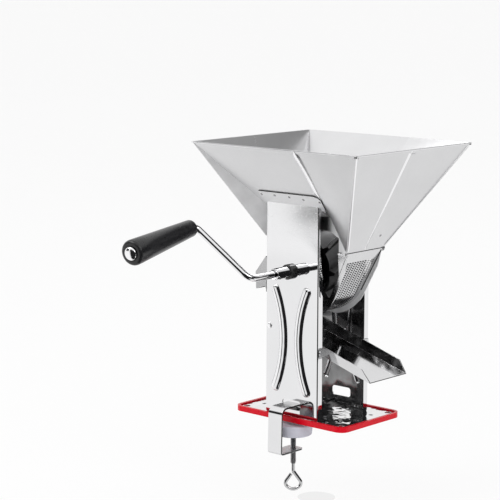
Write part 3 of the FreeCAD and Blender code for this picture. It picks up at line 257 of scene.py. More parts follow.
# Dark and light colour, low and high roughness, then relief, scale and stretch of the grain.
STEELS = {
    "rivet_steel": (0.66, 0.74, 0.12, 0.22),
    "hopper_steel": (0.67, 0.71, 0.30, 0.38, 0.02, 500, (1, 1, 0.06)),
    "chute_steel": (0.66, 0.72, 0.09, 0.15),
    "scraper_steel": (0.44, 0.52, 0.20, 0.30),
    "rod_steel": (0.54, 0.64, 0.10, 0.16),
    "spring_steel": (0.54, 0.62, 0.16, 0.26),
    "clamp_steel": (0.76, 0.81, 0.07, 0.12, 0.01),
    "screw_steel": (0.30, 0.38, 0.12, 0.20),
    # Painted shade: the roller's aluminium is near-black because it lies in shadow between the
    # plates.
    "roller_aluminium": (0.06, 0.12, 0.28, 0.38),
    "crank_chrome": (0.82, 0.85, 0.03, 0.05, 0.004),
    "screen_steel": (0.66, 0.71, 0.14, 0.22),
}
PLASTICS = {
    "bush_plastic": (grey(0.020), grey(0.028), 0.16, 0.24),
    "grip_plastic": ((0.010, 0.010, 0.011), (0.014, 0.014, 0.016), 0.26, 0.34),
    "pad_plastic": ((0.56, 0.56, 0.64), (0.62, 0.62, 0.70), 0.42, 0.52),
}
MAT = {name: steel(name, *values) for name, values in STEELS.items()}
MAT.update({name: plastic(name, *values) for name, values in PLASTICS.items()})
MAT["edge_plastic"] = plastic("edge_plastic", (0.64, 0.001, 0.013), (0.72, 0.002, 0.016),
                              0.20, 0.28, Specular_IOR_Level=0.2)
MAT["plate_steel"] = plate_finish("plate_steel", 0.79, 0.82, 0.035, 0.055)

# Cut faces, and painted shade: this near-black steel also draws shadow lines in folds, gaps and
# slits, round holes and along the ribs.
CUT_AND_SHADE = steel("cut_edge_and_painted_shade", 0.05, 0.14, 0.30, 0.45, 0.2, 1500)
# Bright edge steel: partly burnished wear, partly painted highlight on bevels and on the creases of
# the funnel.
BURNISHED_HIGHLIGHT = steel("burnished_edge_and_highlight", 0.93, 0.97, 0.16, 0.24)
SATIN = steel("satin_face", 0.52, 0.62, 0.28, 0.38)
WELD = steel("weld_mark", 0.22, 0.36, 0.18, 0.28)
# Painted highlight: near-white steel for bright lines on the corners, rim and seam of the funnel,
# its cut faces, the rib flanks and the anchor rod.
HIGHLIGHT_STEEL = steel("painted_highlight_steel", 0.96, 0.99, 0.28, 0.36)
# Painted highlight: paler steel than the bar's chrome, so that the cap's dome reads white.
CAP_HIGHLIGHT = steel("cap_painted_highlight", 0.90, 0.94, 0.10, 0.16)
# Painted shade: near-black ends of the drum, which lie deep between the plates.
DRUM_END_SHADE = steel("drum_end", 0.05, 0.10, 0.20, 0.30)
# Painted light: pale matt steel for some funnel faces and the screen's rear flange, to make them
# read light.
MATT_LIT_STEEL = matt_steel("matt_painted_light", 0.78, 0.90)
# Painted shade: dark steel for the inner faces of the side plates, the chute and the clamp, which
# lie in shadow.
PLATE_INSIDE_SHADE = wavy_steel("plate_inside_painted_shade", 0.10, 0.30, 0.14, 0.22, 24, 0.005)
BASE_TOP = wavy_steel("base_top", 0.80, 0.84, 0.03, 0.06, 60, 0.0016)


# -------------------- mesh tools

def V(x, y, z):
    return Vector((x, y, z))


def cos_sin(degrees):
    return math.cos(math.radians(degrees)), math.sin(math.radians(degrees))


def add_piece(name, mesh, slot, body, replaced=(), materials=None, angle=35):
    """Puts a finished mesh in the scene on its body."""
    for material in materials or [MAT[slot]]:
        mesh.materials.append(material)
    mesh.polygons.foreach_set("use_smooth", [True] * len(mesh.polygons))
    mesh.set_sharp_from_angle(angle=math.radians(angle))
    piece = bpy.data.objects.new(name, mesh)
    link(piece)
    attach(piece, body)
    if replaced:
        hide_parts(*replaced)
    return piece


def baked(piece):
    """Applies the piece's modifiers to its mesh."""
    graph = bpy.context.evaluated_depsgraph_get()
    mesh = bpy.data.meshes.new_from_object(piece.evaluated_get(graph))
    piece.modifiers.clear()
    piece.data = mesh
    return piece


def make_mesh(name, parts):
    """One mesh from lists of (points in millimetres, faces)."""
    points, faces = [], []
    for some_points, some_faces in parts:
        start = len(points)
        points += [p * MM for p in some_points]
        faces += [[start + i for i in face] for face in some_faces]
    mesh = bpy.data.meshes.new(name)
    mesh.from_pydata(points, [], faces)
    mesh.validate()
    return mesh


def add_parts(name, parts, *where, **looks):
    """Piece made of lists of points and faces."""
    return add_piece(name, make_mesh(name, parts), *where, **looks)


def strip_faces(rings, count, closed=False):
    """Quads between rings of points that have the same number of points."""
    faces = []
    for k in range(rings if closed else rings - 1):
        a, b = k * count, (k + 1) % rings * count
        faces += [[a + i, a + (i + 1) % count, b + (i + 1) % count, b + i] for i in range(count)]
    return faces


def ribbon_faces(rows, wide, flip):
    """Quads between open rows of points."""
    faces = []
    for k in range(rows - 1):
        for a in range(k * wide, (k + 1) * wide - 1):
            b = a + wide
            faces.append([b, b + 1, a + 1, a] if flip else [a, a + 1, b + 1, b])
    return faces


def end_faces(rings, count):
    """Caps of the first and the last ring."""
    return [list(range(count))[::-1], [(rings - 1) * count + k for k in range(count)]]


def rounded(points, bends, step=6.0):
    """Route with an arc of the given radius at each inner corner."""
    route = [points[0]]
    for before, corner, after, radius in zip(points, points[1:], points[2:], bends):
        u = (before - corner).normalized()
        w = (after - corner).normalized()
        half = u.angle(w) / 2
        centre = corner + (u + w).normalized() * (radius / math.sin(half))
        a = corner + u * (radius / math.tan(half)) - centre
        b = corner + w * (radius / math.tan(half)) - centre
        sweep = a.angle(b)
        count = max(3, round(math.degrees(sweep) / step))
        for k in range(count + 1):
            t = k / count
            arm = (a * math.sin((1 - t) * sweep) + b * math.sin(t * sweep)) / math.sin(sweep)
            route.append(centre + arm)
    route.append(points[-1])
    return route


def tube(route, radius, sides=32, edge=0.0):
    """Round bar along a route, with an optional chamfer at both ends."""
    radii = [radius] * len(route)
    if edge:
        first = (route[1] - route[0]).normalized() * edge
        last = (route[-2] - route[-1]).normalized() * edge
        route = [route[0], route[0] + first] + route[1:-1] + [route[-1] + last, route[-1]]
        radii = [radius - edge] + [radius] * (len(route) - 2) + [radius - edge]
    points = []
    normal = V(0.3, 0.2, 1)
    for i, place in enumerate(route):
        ahead = (route[min(i + 1, len(route) - 1)] - route[max(i - 1, 0)]).normalized()
        normal = (normal - ahead * normal.dot(ahead)).normalized()
        side = ahead.cross(normal)
        for k in range(sides):
            a = math.tau * k / sides
            points.append(place + (normal * math.cos(a) + side * math.sin(a)) * radii[i])
    return points, strip_faces(len(route), sides) + end_faces(len(route), sides)


def lathe(outline, origin, axis, sides=64, closed=False):
    """Turned form from (radius, height) points, capped at its ends unless closed into a ring."""
    axis = axis.normalized()
    across = axis.orthogonal().normalized()
    side = axis.cross(across)
    least = 0.001
    points = []
    for radius, height in outline:
        for k in range(sides):
            a = math.tau * k / sides
            arm = (across * math.cos(a) + side * math.sin(a)) * max(radius, least)
            points.append(origin + axis * height + arm)
    faces = strip_faces(len(outline), sides, closed)
    return points, faces if closed else faces + end_faces(len(outline), sides)


def prism(outline, lift):
    """Flat outline given a thickness."""
    count = len(outline)
    points = list(outline) + [p + lift for p in outline]
    faces = end_faces(2, count)
    faces += [[i, (i + 1) % count, count + (i + 1) % count, count + i] for i in range(count)]
    return points, faces


def quarter(r0, h0, r1, h1, radius_first, steps=4):
    """Outline points of a rounded edge, on which the radius or the height changes first."""
    points = []
    for k in range(steps + 1):
        a = math.pi / 2 * k / steps
        early, late = math.sin(a), 1 - math.cos(a)
        if not radius_first:
            early, late = late, early
        points.append((r0 + (r1 - r0) * early, h0 + (h1 - h0) * late))
    return points


# -------------------- sheet steel from the solids

# Material indices of a dressed sheet. Some carry painted shade (inner faces, downward faces, dark
# cut faces) and some carry painted light (bright bevels, the funnel's white cut faces, pale matt
# faces).
PLAIN, CUT, WORN_AND_HIGHLIGHT, INNER_SHADE, UPPER, UNDERSIDE_SHADE, HIGHLIGHT_CUT, MATT_LIT = range(8)


def thin_face(face, limit):
    """True for the narrow cut face of a sheet."""
    whole = sum(e.calc_length() for e in face.edges)
    if 2 * face.calc_area() > whole * limit:
        return False
    sharp = sum(e.calc_length() for e in face.edges
                if len(e.link_faces) == 2 and e.calc_face_angle(0) > math.radians(50))
    return sharp > 0.8 * whole


def bevel(form, edges, size, steps, **more):
    bmesh.ops.bevel(form, geom=edges, offset=size * MM, offset_type="OFFSET", segments=steps,
                    profile=0.5, affect="EDGES", clamp_overlap=True, loop_slide=True, **more)


def dress(node, sheet, edge=0.16, wide=(), inside=0, cut=CUT, top=None, angle=30):
    """Copy of a sheet steel solid with bright bevelled edges (wear and painted highlight), dark cut
    faces (cut edge and painted shade) and chosen wide bends.

    inside is the sign of y to which the inner face looks; the inner faces and the faces that look
    down and outwards take painted shade. top is a material for level upper faces, and cut the index
    of the cut faces.
    """
    form = bmesh.new()
    form.from_mesh(NODES[node].data)
    bmesh.ops.remove_doubles(form, verts=form.verts, dist=0.00001)
    bmesh.ops.dissolve_limit(form, angle_limit=math.radians(0.7), verts=form.verts,
                             edges=form.edges)
    form.normal_update()
    for choose, radius, steps in wide:
        edges = [e for e in form.edges if len(e.link_faces) == 2 and choose(e)]
        if edges:
            bevel(form, edges, radius, steps)
            form.normal_update()
    for face in form.faces:
        normal = face.normal
        if thin_face(face, sheet * 1.15 * MM):
            face.material_index = cut
        # Painted light: funnel faces that look towards +X and sideways take the pale matt steel.
        elif cut == HIGHLIGHT_CUT and normal.x > 0.4 and abs(normal.y) > 0.6:
            face.material_index = MATT_LIT
        elif top and normal.z > 0.95:
            face.material_index = UPPER
        # Painted shade: faces that look down and outwards take the darker, rougher funnel steel.
        elif inside and normal.z < -0.4 and normal.y * inside < -0.5:
            face.material_index = UNDERSIDE_SHADE
        # Painted shade: inner faces take the dark inside steel.
        elif inside and normal.y * inside > 0.85 and face.calc_center_median().y * inside < 0:
            face.material_index = INNER_SHADE
    sharp = [e for e in form.edges
             if len(e.link_faces) == 2 and e.calc_face_angle(0) > math.radians(40)]
    # Bevels on sharp edges take the bright edge steel, partly wear and partly painted highlight.
    bevel(form, sharp, edge, 2, material=WORN_AND_HIGHLIGHT)
    mesh = bpy.data.meshes.new(node + "_dressed")
    form.to_mesh(mesh)
    form.free()
    slot = SLOT[node]
    materials = [MAT[slot], CUT_AND_SHADE, BURNISHED_HIGHLIGHT, PLATE_INSIDE_SHADE, top or MAT[slot], MAT["hopper_steel"],
                 HIGHLIGHT_STEEL, MATT_LIT_STEEL]
    piece = add_piece(node + "_sheet", mesh, slot, "frame", [node], materials, angle)
    weighted = piece.modifiers.new("flat", "WEIGHTED_NORMAL")
    weighted.mode = "FACE_AREA"
    weighted.weight = 100
    weighted.keep_sharp = True
    baked(piece)


def plate_bends(side):
    """Outer and inner vertical corners of a side plate, where its flanges are folded back."""
    near = 0.06

    def corner(x, y):
        def choose(edge):
            a, b = edge.verts[0].co, edge.verts[1].co
            place = (a + b) / (2 * MM)
            return (abs((b - a).normalized().z) > 0.99 and abs(abs(place.x) - x) < near
                    and abs(place.y - side * y) < near and edge.calc_length() > 2 * MM)
        return choose
    return [(corner(SIDE_HALF_WIDTH, SIDE_OUTER_Y), SIDE_BEND_R, 5),
            (corner(SIDE_HALF_WIDTH - SIDE_SHEET, SIDE_INNER_Y), SIDE_INNER_BEND_R, 3)]


def dress_sheets():
    for side, word in SIDES:
        dress(word + "_side_plate", SIDE_SHEET, wide=plate_bends(side), inside=-side)
        # Painted highlight: the funnel's cut faces take the near-white steel.
        dress(f"hopper_{word}_half", HOPPER_SHEET, 0.4, cut=HIGHLIGHT_CUT, angle=6)
    dress("juice_chute", CHUTE_SHEET, inside=-1)
    dress("peel_scraper", SCRAPER_SHEET)
    dress("clamp_bracket", CLAMP_SHEET, 0.35, inside=1, top=SATIN)
    dress("base_plate", BASE_SHEET, 0.2, top=BASE_TOP)


# -------------------- folds, ribs, rims and rivets

CREASE_SECTION = [(-3.0, -0.10), (-2.2, 0.20), (-1.2, 0.62), (-0.2, 0.86), (0.5, 0.84), (1.0, 0.55),
                  (1.35, 0.15), (1.6, -0.10)]
RIB_SECTION = [(-6.6, -0.05), (-6.3, 0.12), (-5.95, 0.45), (-5.3, 1.15), (-4.3, 1.65), (-3.4, 1.9),
               (-2.5, 1.98), (-2.1, 1.98), (-1.7, 1.88), (-0.4, 1.5), (0.9, 1.1), (2.2, 0.7),
               (3.5, 0.28), (4.1, 0.08), (4.4, -0.05)]
# Painted highlight and shade across a rib: 1 is a dark outline, 2 a bright band, 0 plain plate
# steel.
RIB_HIGHLIGHT_AND_SHADE = [1, 1, 2, 2, 2, 2, 2, 0, 0, 0, 0, 0, 1, 1]
HOLE_RIM = [(3.45, -0.6), (3.5, 0.1), (3.7, 0.32), (4.3, 0.32), (4.7, 0.0), (4.7, -0.1)]
DRAIN_RIM = [(2.4, -0.6), (2.4, 0.1), (2.6, 0.25), (3.1, 0.25), (3.4, 0.0), (3.4, -0.1)]
WELD_OUTLINE = [(1.5, -0.1), (1.45, 0.06), (1.2, 0.14), (0.8, 0.12), (0.35, 0.02), (0.1, 0.0)]
WELD_PLACES = ((-35.6, 234.6), (-17.7, 234.9), (1.7, 234.5), (19.6, 233.4), (40.3, 232.3),
               (37.9, 221.4))


def make_creases():
    """Raised folds on the long faces of the funnel, steep towards the juice side, with a painted
    highlight: a bright band along one flank.
    """
    right, bow, width, count = V(1, 0, 0), 1.6, 1.5, 24
    wide = len(CREASE_SECTION)
    for side, word in SIDES:
        top, low = V(45.6, side * SHELL_HALF_WIDTH, RIM_Z - 1.0), V(42.3, side * 47.0, 233.8)
        out = V(0, side * 0.759, -0.651)
        points = []
        for k in range(count + 1):
            t = k / count
            size = min(1.0, 6 * t + 0.25) * min(1.0, 6 * (1 - t) + 0.3)
            place = top + (low - top) * t + right * bow * math.sin(math.pi * t)
            points += [place + right * (across * width * size) + out * (lift * size)
                       for across, lift in CREASE_SECTION]
        mesh = make_mesh(word + "_crease", [(points, ribbon_faces(count + 1, wide, side > 0))])
        for face in mesh.polygons:
            # Painted highlight: the first strips across the fold take the bright steel.
            face.material_index = 1 if face.index % (wide - 1) < 4 else 0
        add_piece(word + "_crease", mesh, "hopper_steel", "frame",
                  materials=[MAT["hopper_steel"], BURNISHED_HIGHLIGHT], angle=60)


def make_beads():
    """Painted highlights: bright strips on the folded corners and rim of the funnel, and on the
    seam between its halves.
    """
    funnel = [NODES[f"hopper_{word}_half"].data for word in ("front", "rear")]
    low = [v.co / MM for mesh in funnel for v in mesh.vertices
           if LIP_Z - 1.5 < v.co.z / MM < LIP_Z + 4]
    reach = max(p.x for p in low)
    throat = max(abs(p.y) for p in low if p.x > reach - 2)
    out = V(END_RISE, 0, -END_RUN).normalized()

    def on_end(y, z):
        """Place on the sloping end wall over the chute."""
        return V(RIM_X - (RIM_Z - z) * END_SLOPE, y, z) + out * 0.1

    parts = []
    for top_y, low_y, width in ((-92.3, -throat + 1.2, 1.5), (92.3, throat - 1.2, 1.0)):
        a, b = on_end(top_y, RIM_Z - 2.5), on_end(low_y, LIP_Z + 2.0)
        across = (b - a).cross(out).normalized() * (width / 2)
        parts.append(prism([a - across, b - across, b + across, a + across], out * 0.3))
    top, low = on_end(SEAM_TOP_Y, RIM_Z - 1.5), on_end(SEAM_LOW_Y, LIP_Z + 1.0)
    fillet = [(0.15, 0.1), (-3.2, -0.95), (-3.2, -1.2), (0.15, -1.2)]
    parts.append(prism([top + V(0, y, 0) + out * lift for y, lift in fillet], low - top))
    bead_x, bead_y, bead_z, steps = 124.2, 93.4, 287.1, 12
    for side in (-1, 1):
        corner = V(bead_x, side * bead_y, bead_z)
        for a, b in ((V(-91.9, side * bead_y, bead_z), corner), (corner, V(bead_x, 0, bead_z))):
            parts.append(tube([a + (b - a) * (k / steps) for k in range(steps + 1)], 0.6, 10))
    add_parts("painted_highlight_beads", parts, "hopper_steel", "frame", materials=[HIGHLIGHT_STEEL])


def make_ribs():
    """Bowed ribs with a steep flank towards the juice side, with a painted highlight band over the
    steep flank and a painted dark outline at their foot.
    """
    bow, gap, mid_z, half, count = 125.6, 10, 84.5, 52.5, 60
    turn = math.asin(half / bow)
    length = 2 * turn * bow
    for side, word in SIDES:
        parts = []
        for hand in (-1, 1):
            points = []
            for k in range(count + 1):
                t = math.sin((-1 + 2 * k / count) * math.pi / 2)
                a = turn * 1.072 * t
                rest = (1 - abs(t)) * length * 0.536 / 4.0
                size = max(math.sqrt(max(0.0, 1 - (1 - min(1.0, rest)) ** 2)), 0.02)
                right = V(math.cos(a), 0, -math.sin(a) * hand)
                place = V(hand * (gap + bow) - hand * bow * math.cos(a), side * SIDE_OUTER_Y,
                          mid_z + bow * math.sin(a))
                points += [place + right * (u * size) + V(0, side * lift * size, 0)
                           for u, lift in RIB_SECTION]
            parts.append((points, ribbon_faces(count + 1, len(RIB_SECTION), side > 0)))
        mesh = make_mesh(word + "_ribs", parts)
        for face, kind in zip(mesh.polygons, RIB_HIGHLIGHT_AND_SHADE * count * len(parts)):
            face.material_index = kind
        add_piece(word + "_ribs", mesh, "plate_steel", "frame",
                  materials=[MAT["plate_steel"], CUT_AND_SHADE, HIGHLIGHT_STEEL], angle=60)


def make_lines():
    """Painted shadow lines: dark lines along the folds over the side plates and in the cut corners
    of the rim, and dark rims round the holes in the base.
    """
    parts = []
    for side in (-1, 1):
        y, z = side * SIDE_OUTER_Y - side * 0.1, SIDE_BEND_Z - 0.1
        parts.append(tube([V(-34.4, y, z), V(30, y, z)], 0.28, 8))
        parts.append(tube([V(121.6, side * 93.0, 286.2), V(124.1, side * 93.0, 286.2)], 0.95, 10))
    up = V(0, 0, 1)
    rims = [lathe(HOLE_RIM, V(x, y, BASE_TOP_Z), up, 48, True)
            for x in (-HOLE_X, HOLE_X) for y in (-HOLE_Y, HOLE_Y)]
    rims += [lathe(DRAIN_RIM, V(sign * DRAIN_X, sign * DRAIN_Y, BASE_TOP_Z), up, 40, True)
             for sign in (-1, 1)]
    add_parts("fold_shadow_lines", parts, "plate_steel", "frame", materials=[CUT_AND_SHADE])
    add_parts("hole_rims", rims, "plate_steel", "frame", materials=[CUT_AND_SHADE])


def make_anchor():
    """Spring rod riveted over at both plates."""
    reach = SIDE_OUTER_Y + ANCHOR_HEAD
    head = [(0.01, -reach), (1.6, -reach + 0.02), (2.6, -reach + 0.25), (3.3, -reach + 0.7),
            (ANCHOR_HEAD_R, -SIDE_OUTER_Y), (ANCHOR_R, -SIDE_OUTER_Y + 0.05)]
    outline = head + [(radius, -height) for radius, height in head[::-1]]
    rod = lathe(outline, V(ANCHOR_X, 0, ANCHOR_Z), V(0, 1, 0), 40)
    # Painted highlight: the rod and its riveted heads take the near-white steel.
    add_parts("anchor_rod_riveted", [rod], "rod_steel", "frame", ["spring_anchor_rod"], [HIGHLIGHT_STEEL], 50)


def make_welds():
    """Marks of spot welds on the tabs and under the funnel's lip."""
    slope = (RIM_Z - SIDE_BEND_Z) / (SHELL_HALF_WIDTH - SIDE_INNER_Y)
    run, rise = math.cos(math.atan(slope)), math.sin(math.atan(slope))
    parts = []
    for side in (-1, 1):
        out = V(0, side * rise, -run)
        for x, z in WELD_PLACES:
            y = SIDE_INNER_Y + (z - SIDE_BEND_Z) / rise * run
            parts.append(lathe(WELD_OUTLINE, V(x, side * y, z) + out * SIDE_SHEET, out, 20))
    weld_run, above_lip = 61.4, 14.0
    out = V(END_RISE, 0, -weld_run).normalized()
    place = V(LIP_X + weld_run / END_RISE * above_lip, 13.7, LIP_Z + above_lip)
    parts.append(lathe(WELD_OUTLINE, place + out * 0.05, out, 20))
    add_parts("spot_welds", parts, "rivet_steel", "frame", materials=[WELD])


# -------------------- screen

def around(radius, degrees, y=0.0):
    """Point at a distance from the roller's axis."""
    cos, sin = cos_sin(degrees)
    return V(AXIS_X + radius * cos, y, AXIS_Z + radius * sin)


# The sheet leaves its barrel straight, touches its own circle at TOUCH_DEG and follows it.
LIP_RUN, LIP_RISE = LIP_X - AXIS_X, LIP_Z - LIP_GAP - AXIS_Z
TOUCH_DEG = math.degrees(math.atan2(LIP_RISE, LIP_RUN)
                         - math.acos(SCREEN_R / math.hypot(LIP_RUN, LIP_RISE)))
TOUCH_COS, TOUCH_SIN = cos_sin(TOUCH_DEG)
SCREEN_OUT, SCREEN_DOWN = V(TOUCH_COS, 0, TOUCH_SIN), V(TOUCH_SIN, 0, -TOUCH_COS)
SCREEN_TOP = V(LIP_X, 0, LIP_Z - LIP_GAP) + SCREEN_DOWN * BARREL_R
STRAIGHT = (around(SCREEN_R, TOUCH_DEG) - SCREEN_TOP).length
TOTAL = STRAIGHT + math.radians(TOUCH_DEG - SCREEN_END_DEG) * SCREEN_R


def screen_place(down, y, inward=0.0):
    """Point of the sheet a given length below the barrel, and y across."""
    if down <= STRAIGHT:
        base = SCREEN_TOP + SCREEN_DOWN * down - SCREEN_OUT * inward
        return V(base.x, y, base.z)
    return around(SCREEN_R - inward, TOUCH_DEG - math.degrees((down - STRAIGHT) / SCREEN_R), y)


def screen_half(down):
    """Half the width of the sheet."""
    return SCREEN_TOP_HALF + (SCREEN_HALF - SCREEN_TOP_HALF) * min(1.0, down / STRAIGHT)


def slit_cell(low, high, y):
    """Eight faces round one slit, as places (down, y) on the sheet."""
    centre, half = (low + high) / 2, SLIT_PITCH / 2
    border = [(low, y + half), (centre, y + half), (high, y + half), (high, y),
              (high, y - half), (centre, y - half), (low, y - half), (low, y)]
    turns = [math.atan2(down - centre, across - y) for down, across in border]
    ring = []
    for k in range(8):
        step = (turns[(k + 1) % 8] - turns[k]) % math.tau
        for a in (turns[k], turns[k] + step / 2):
            reach = 1 / math.hypot(math.cos(a - SLIT_LEAN) / SLIT_HALF_LENGTH,
                                   math.sin(a - SLIT_LEAN) / SLIT_HALF_WIDTH)
            ring.append((centre + reach * math.sin(a), y + reach * math.cos(a)))
    return [[border[k], border[(k + 1) % 8], ring[(2 * k + 2) % 16], ring[2 * k + 1], ring[2 * k]]
            for k in range(8)]


def plain_part(low, high, at, left, right, steps):
    """Plain faces between two levels, of which at is the one that the slits' cells end on."""
    half = SLIT_PITCH / 2
    line = [left + half * k for k in range(int(round((right - left) / half)) + 1)]
    line = [-screen_half(at)] + line + [screen_half(at)]
    levels = [low + (high - low) * k / steps for k in range(steps + 1)]

    def place(y, level):
        return (level, y * screen_half(level) / screen_half(at) if level != at else y)

    return [[place(p, a), place(q, a), place(q, b), place(p, b)]
            for a, b in zip(levels, levels[1:]) for p, q in zip(line, line[1:])]


def perforated_sheet():
    """Sheet with rows of slanting slits, as flat cells and plain borders."""
    rows = int((TOTAL - SLIT_FIRST - 6) / SLIT_ROW)
    cells, borders, ends = [], [], []
    for row in range(rows):
        low, high = SLIT_FIRST + row * SLIT_ROW, SLIT_FIRST + (row + 1) * SLIT_ROW
        centre = (low + high) / 2
        count = int((screen_half(centre) - SLIT_MARGIN) / SLIT_PITCH - 0.5)
        for k in range(-count, count + 1):
            cells += slit_cell(low, high, SLIT_PITCH * k)
        reach = SLIT_PITCH * count + SLIT_PITCH / 2
        ends.append((-reach, reach))
        for sign in (-1, 1):
            ring = [(down, sign * reach) for down in (low, centre, high)]
            ring += [(down, sign * screen_half(down)) for down in (high, centre, low)]
            borders.append(ring[::sign])
    last = SLIT_FIRST + rows * SLIT_ROW
    borders += plain_part(0.0, SLIT_FIRST, SLIT_FIRST, *ends[0], 2)
    borders += plain_part(last, TOTAL, last, *ends[-1], max(2, int((TOTAL - last) / 3)))
    points, faces, index = [], [], {}
    for outline in cells + borders:
        face = []
        for down, y in outline:
            key = (round(down, 3), round(y, 3))
            if key not in index:
                index[key] = len(points)
                points.append(screen_place(down, y))
            face.append(index[key])
        faces.append(face)
    return points, faces


def screen_side(sign):
    """Outward flange and inward ear of one edge of the screen."""
    foot = around(SCREEN_R, TOUCH_DEG)
    t = V(SCREEN_TOP.x, sign * SCREEN_TOP_HALF, SCREEN_TOP.z)
    p = V(foot.x, sign * SCREEN_HALF, foot.z)
    down = p - t
    inner = SCREEN_OUT * -SCREEN_SHEET
    wall = V(0, -sign * SCREEN_SHEET, 0)
    ear = SCREEN_EAR_REACH * 0.45 / (foot - SCREEN_TOP).length
    straight = [t + inner, t, t + down * 0.35 + SCREEN_OUT * (SCREEN_FLANGE * 0.9),
                p + SCREEN_OUT * SCREEN_FLANGE, p + inner, t + down * 0.5 + inner,
                t + down * ear - SCREEN_OUT * SCREEN_EAR_REACH]
    steps, run_out = 24, 22.0
    y = sign * SCREEN_HALF
    low, high = [], []
    for k in range(steps + 1):
        degrees = TOUCH_DEG + (SCREEN_END_DEG - TOUCH_DEG) * k / steps
        share = min(1.0, (degrees - SCREEN_END_DEG) / run_out)
        low.append(around(SCREEN_R - SCREEN_SHEET, degrees, y))
        high.append(around(SCREEN_R + 1 + (SCREEN_FLANGE - 1) * share, degrees, y))
    return [prism(straight, wall)] + [prism([low[k], high[k], high[k + 1], low[k + 1]], wall)
                                      for k in range(steps)]


def make_screen():
    """Perforated sheet, its flanges and tail, with painted shade on the slit walls and in the folds
    and painted light on the rear flange.
    """
    mesh = make_mesh("screen_sheet", [perforated_sheet()])
    form = bmesh.new()
    form.from_mesh(mesh)
    bmesh.ops.recalc_face_normals(form, faces=form.faces)
    if sum(f.normal.dot(SCREEN_OUT) * f.calc_area() for f in form.faces) < 0:
        bmesh.ops.reverse_faces(form, faces=form.faces)
    form.to_mesh(mesh)
    form.free()
    sheet = add_piece("screen_sheet", mesh, "screen_steel", "screen", ["perforated_screen"],
                      angle=60)
    thick = sheet.modifiers.new("thick", "SOLIDIFY")
    thick.thickness = SCREEN_SHEET * MM
    thick.offset = -1
    baked(sheet)
    sheet.data.set_sharp_from_angle(angle=math.radians(35))
    sheet.data.materials.append(CUT_AND_SHADE)
    foot = around(SCREEN_R, TOUCH_DEG)
    for face in sheet.data.polygons:
        place = face.center / MM
        out = SCREEN_OUT
        if (place - foot).dot(SCREEN_DOWN) > 0:
            out = V(place.x - AXIS_X, 0, place.z - AXIS_Z).normalized()
        # Painted shade: slit walls and cut edges take the near-black steel.
        if abs(face.normal.dot(out)) < 0.5:
            face.material_index = 1

    parts = screen_side(-1) + screen_side(1)
    cos, sin = cos_sin(SCREEN_END_DEG - 90)
    lift = V(cos, 0, sin) * SCREEN_SHEET
    half, inner, outer = SCREEN_HALF - 3, SCREEN_R - SCREEN_SHEET, SCREEN_R + SCREEN_TAIL
    corners = ((inner, -half), (outer, -half), (outer, half), (inner, half))
    parts.append(prism([around(radius, SCREEN_END_DEG, y) for radius, y in corners], lift))
    pin = SCREEN_TOP - SCREEN_OUT * BARREL_R
    barrel = [V(pin.x, y, pin.z) for y in (-BARREL_HALF, BARREL_HALF)]
    parts.append(tube(barrel, BARREL_R, 24, 0.2))
    mesh = make_mesh("screen_rim", parts)
    # Painted light: faces on the rear side take the pale matt steel.
    for face in mesh.polygons:
        if abs(face.normal.y) > 0.9 and face.center.y > 20 * MM:
            face.material_index = 1
    add_piece("screen_rim", mesh, "screen_steel", "screen",
              materials=[MAT["screen_steel"], MATT_LIT_STEEL])

    # Painted shadow: dark lines in the folds at both edges of the sheet.
    fold_shadows = []
    for sign, radius in ((-1, 0.25), (1, 0.42)):
        downs = [STRAIGHT * k / 12 for k in range(13)]
        line = [screen_place(down + 1.0, sign * (screen_half(down) - 0.9), -0.25) for down in downs]
        fold_shadows.append(tube(line, radius, 8))
    add_parts("screen_fold_shadows", fold_shadows, "screen_steel", "screen", materials=[CUT_AND_SHADE])


# -------------------- roller, springs and bushes

def make_roller():
    """Cast drum with rounded twisted vanes."""
    count, steps, vane = 240, 26, 360 // VANES
    root = math.degrees(VANE_ROOT_HALF / ROLLER_CORE_R)
    tip = math.degrees(VANE_TIP_HALF / ROLLER_R)
    points = []
    for k in range(steps + 1):
        y = -ROLLER_HALF + 2 * ROLLER_HALF * k / steps
        drop = 0.5 if k in (0, steps) else 0.0
        for i in range(count):
            degrees = 360.0 * i / count
            gap = abs((degrees + vane // 2) % vane - vane // 2)
            share = min(1.0, max(0.0, (root - gap) / (root - tip)))
            share = share * share * (3 - 2 * share)
            valley = ROLLER_VALLEY_R + 0.6 * (1 - min(1.0, abs(vane // 2 - gap) / 12))
            radius = valley + (ROLLER_R - valley) * share - drop
            points.append(around(radius, degrees + VANE_TWIST * k / steps, y))
    drum = (points, strip_faces(steps + 1, count) + end_faces(steps + 1, count))
    add_parts("roller_cast", [drum], "roller_aluminium", "crank", ["roller"], angle=40)
    outline = [(SHAFT_R, 0), (SHAFT_R, 0.25), (9, 0.25), (9.8, 0.05), (26, 0.05), (27, 0.25),
               (34.6, 0.25), (35.4, 0)]
    ends = [lathe(outline, V(AXIS_X, sign * (ROLLER_HALF - 0.02), AXIS_Z), V(0, sign, 0), 72)
            for sign in (-1, 1)]
    add_parts("drum_ends", ends, "roller_aluminium", "crank", ["roller_end_plates"], [DRUM_END_SHADE])


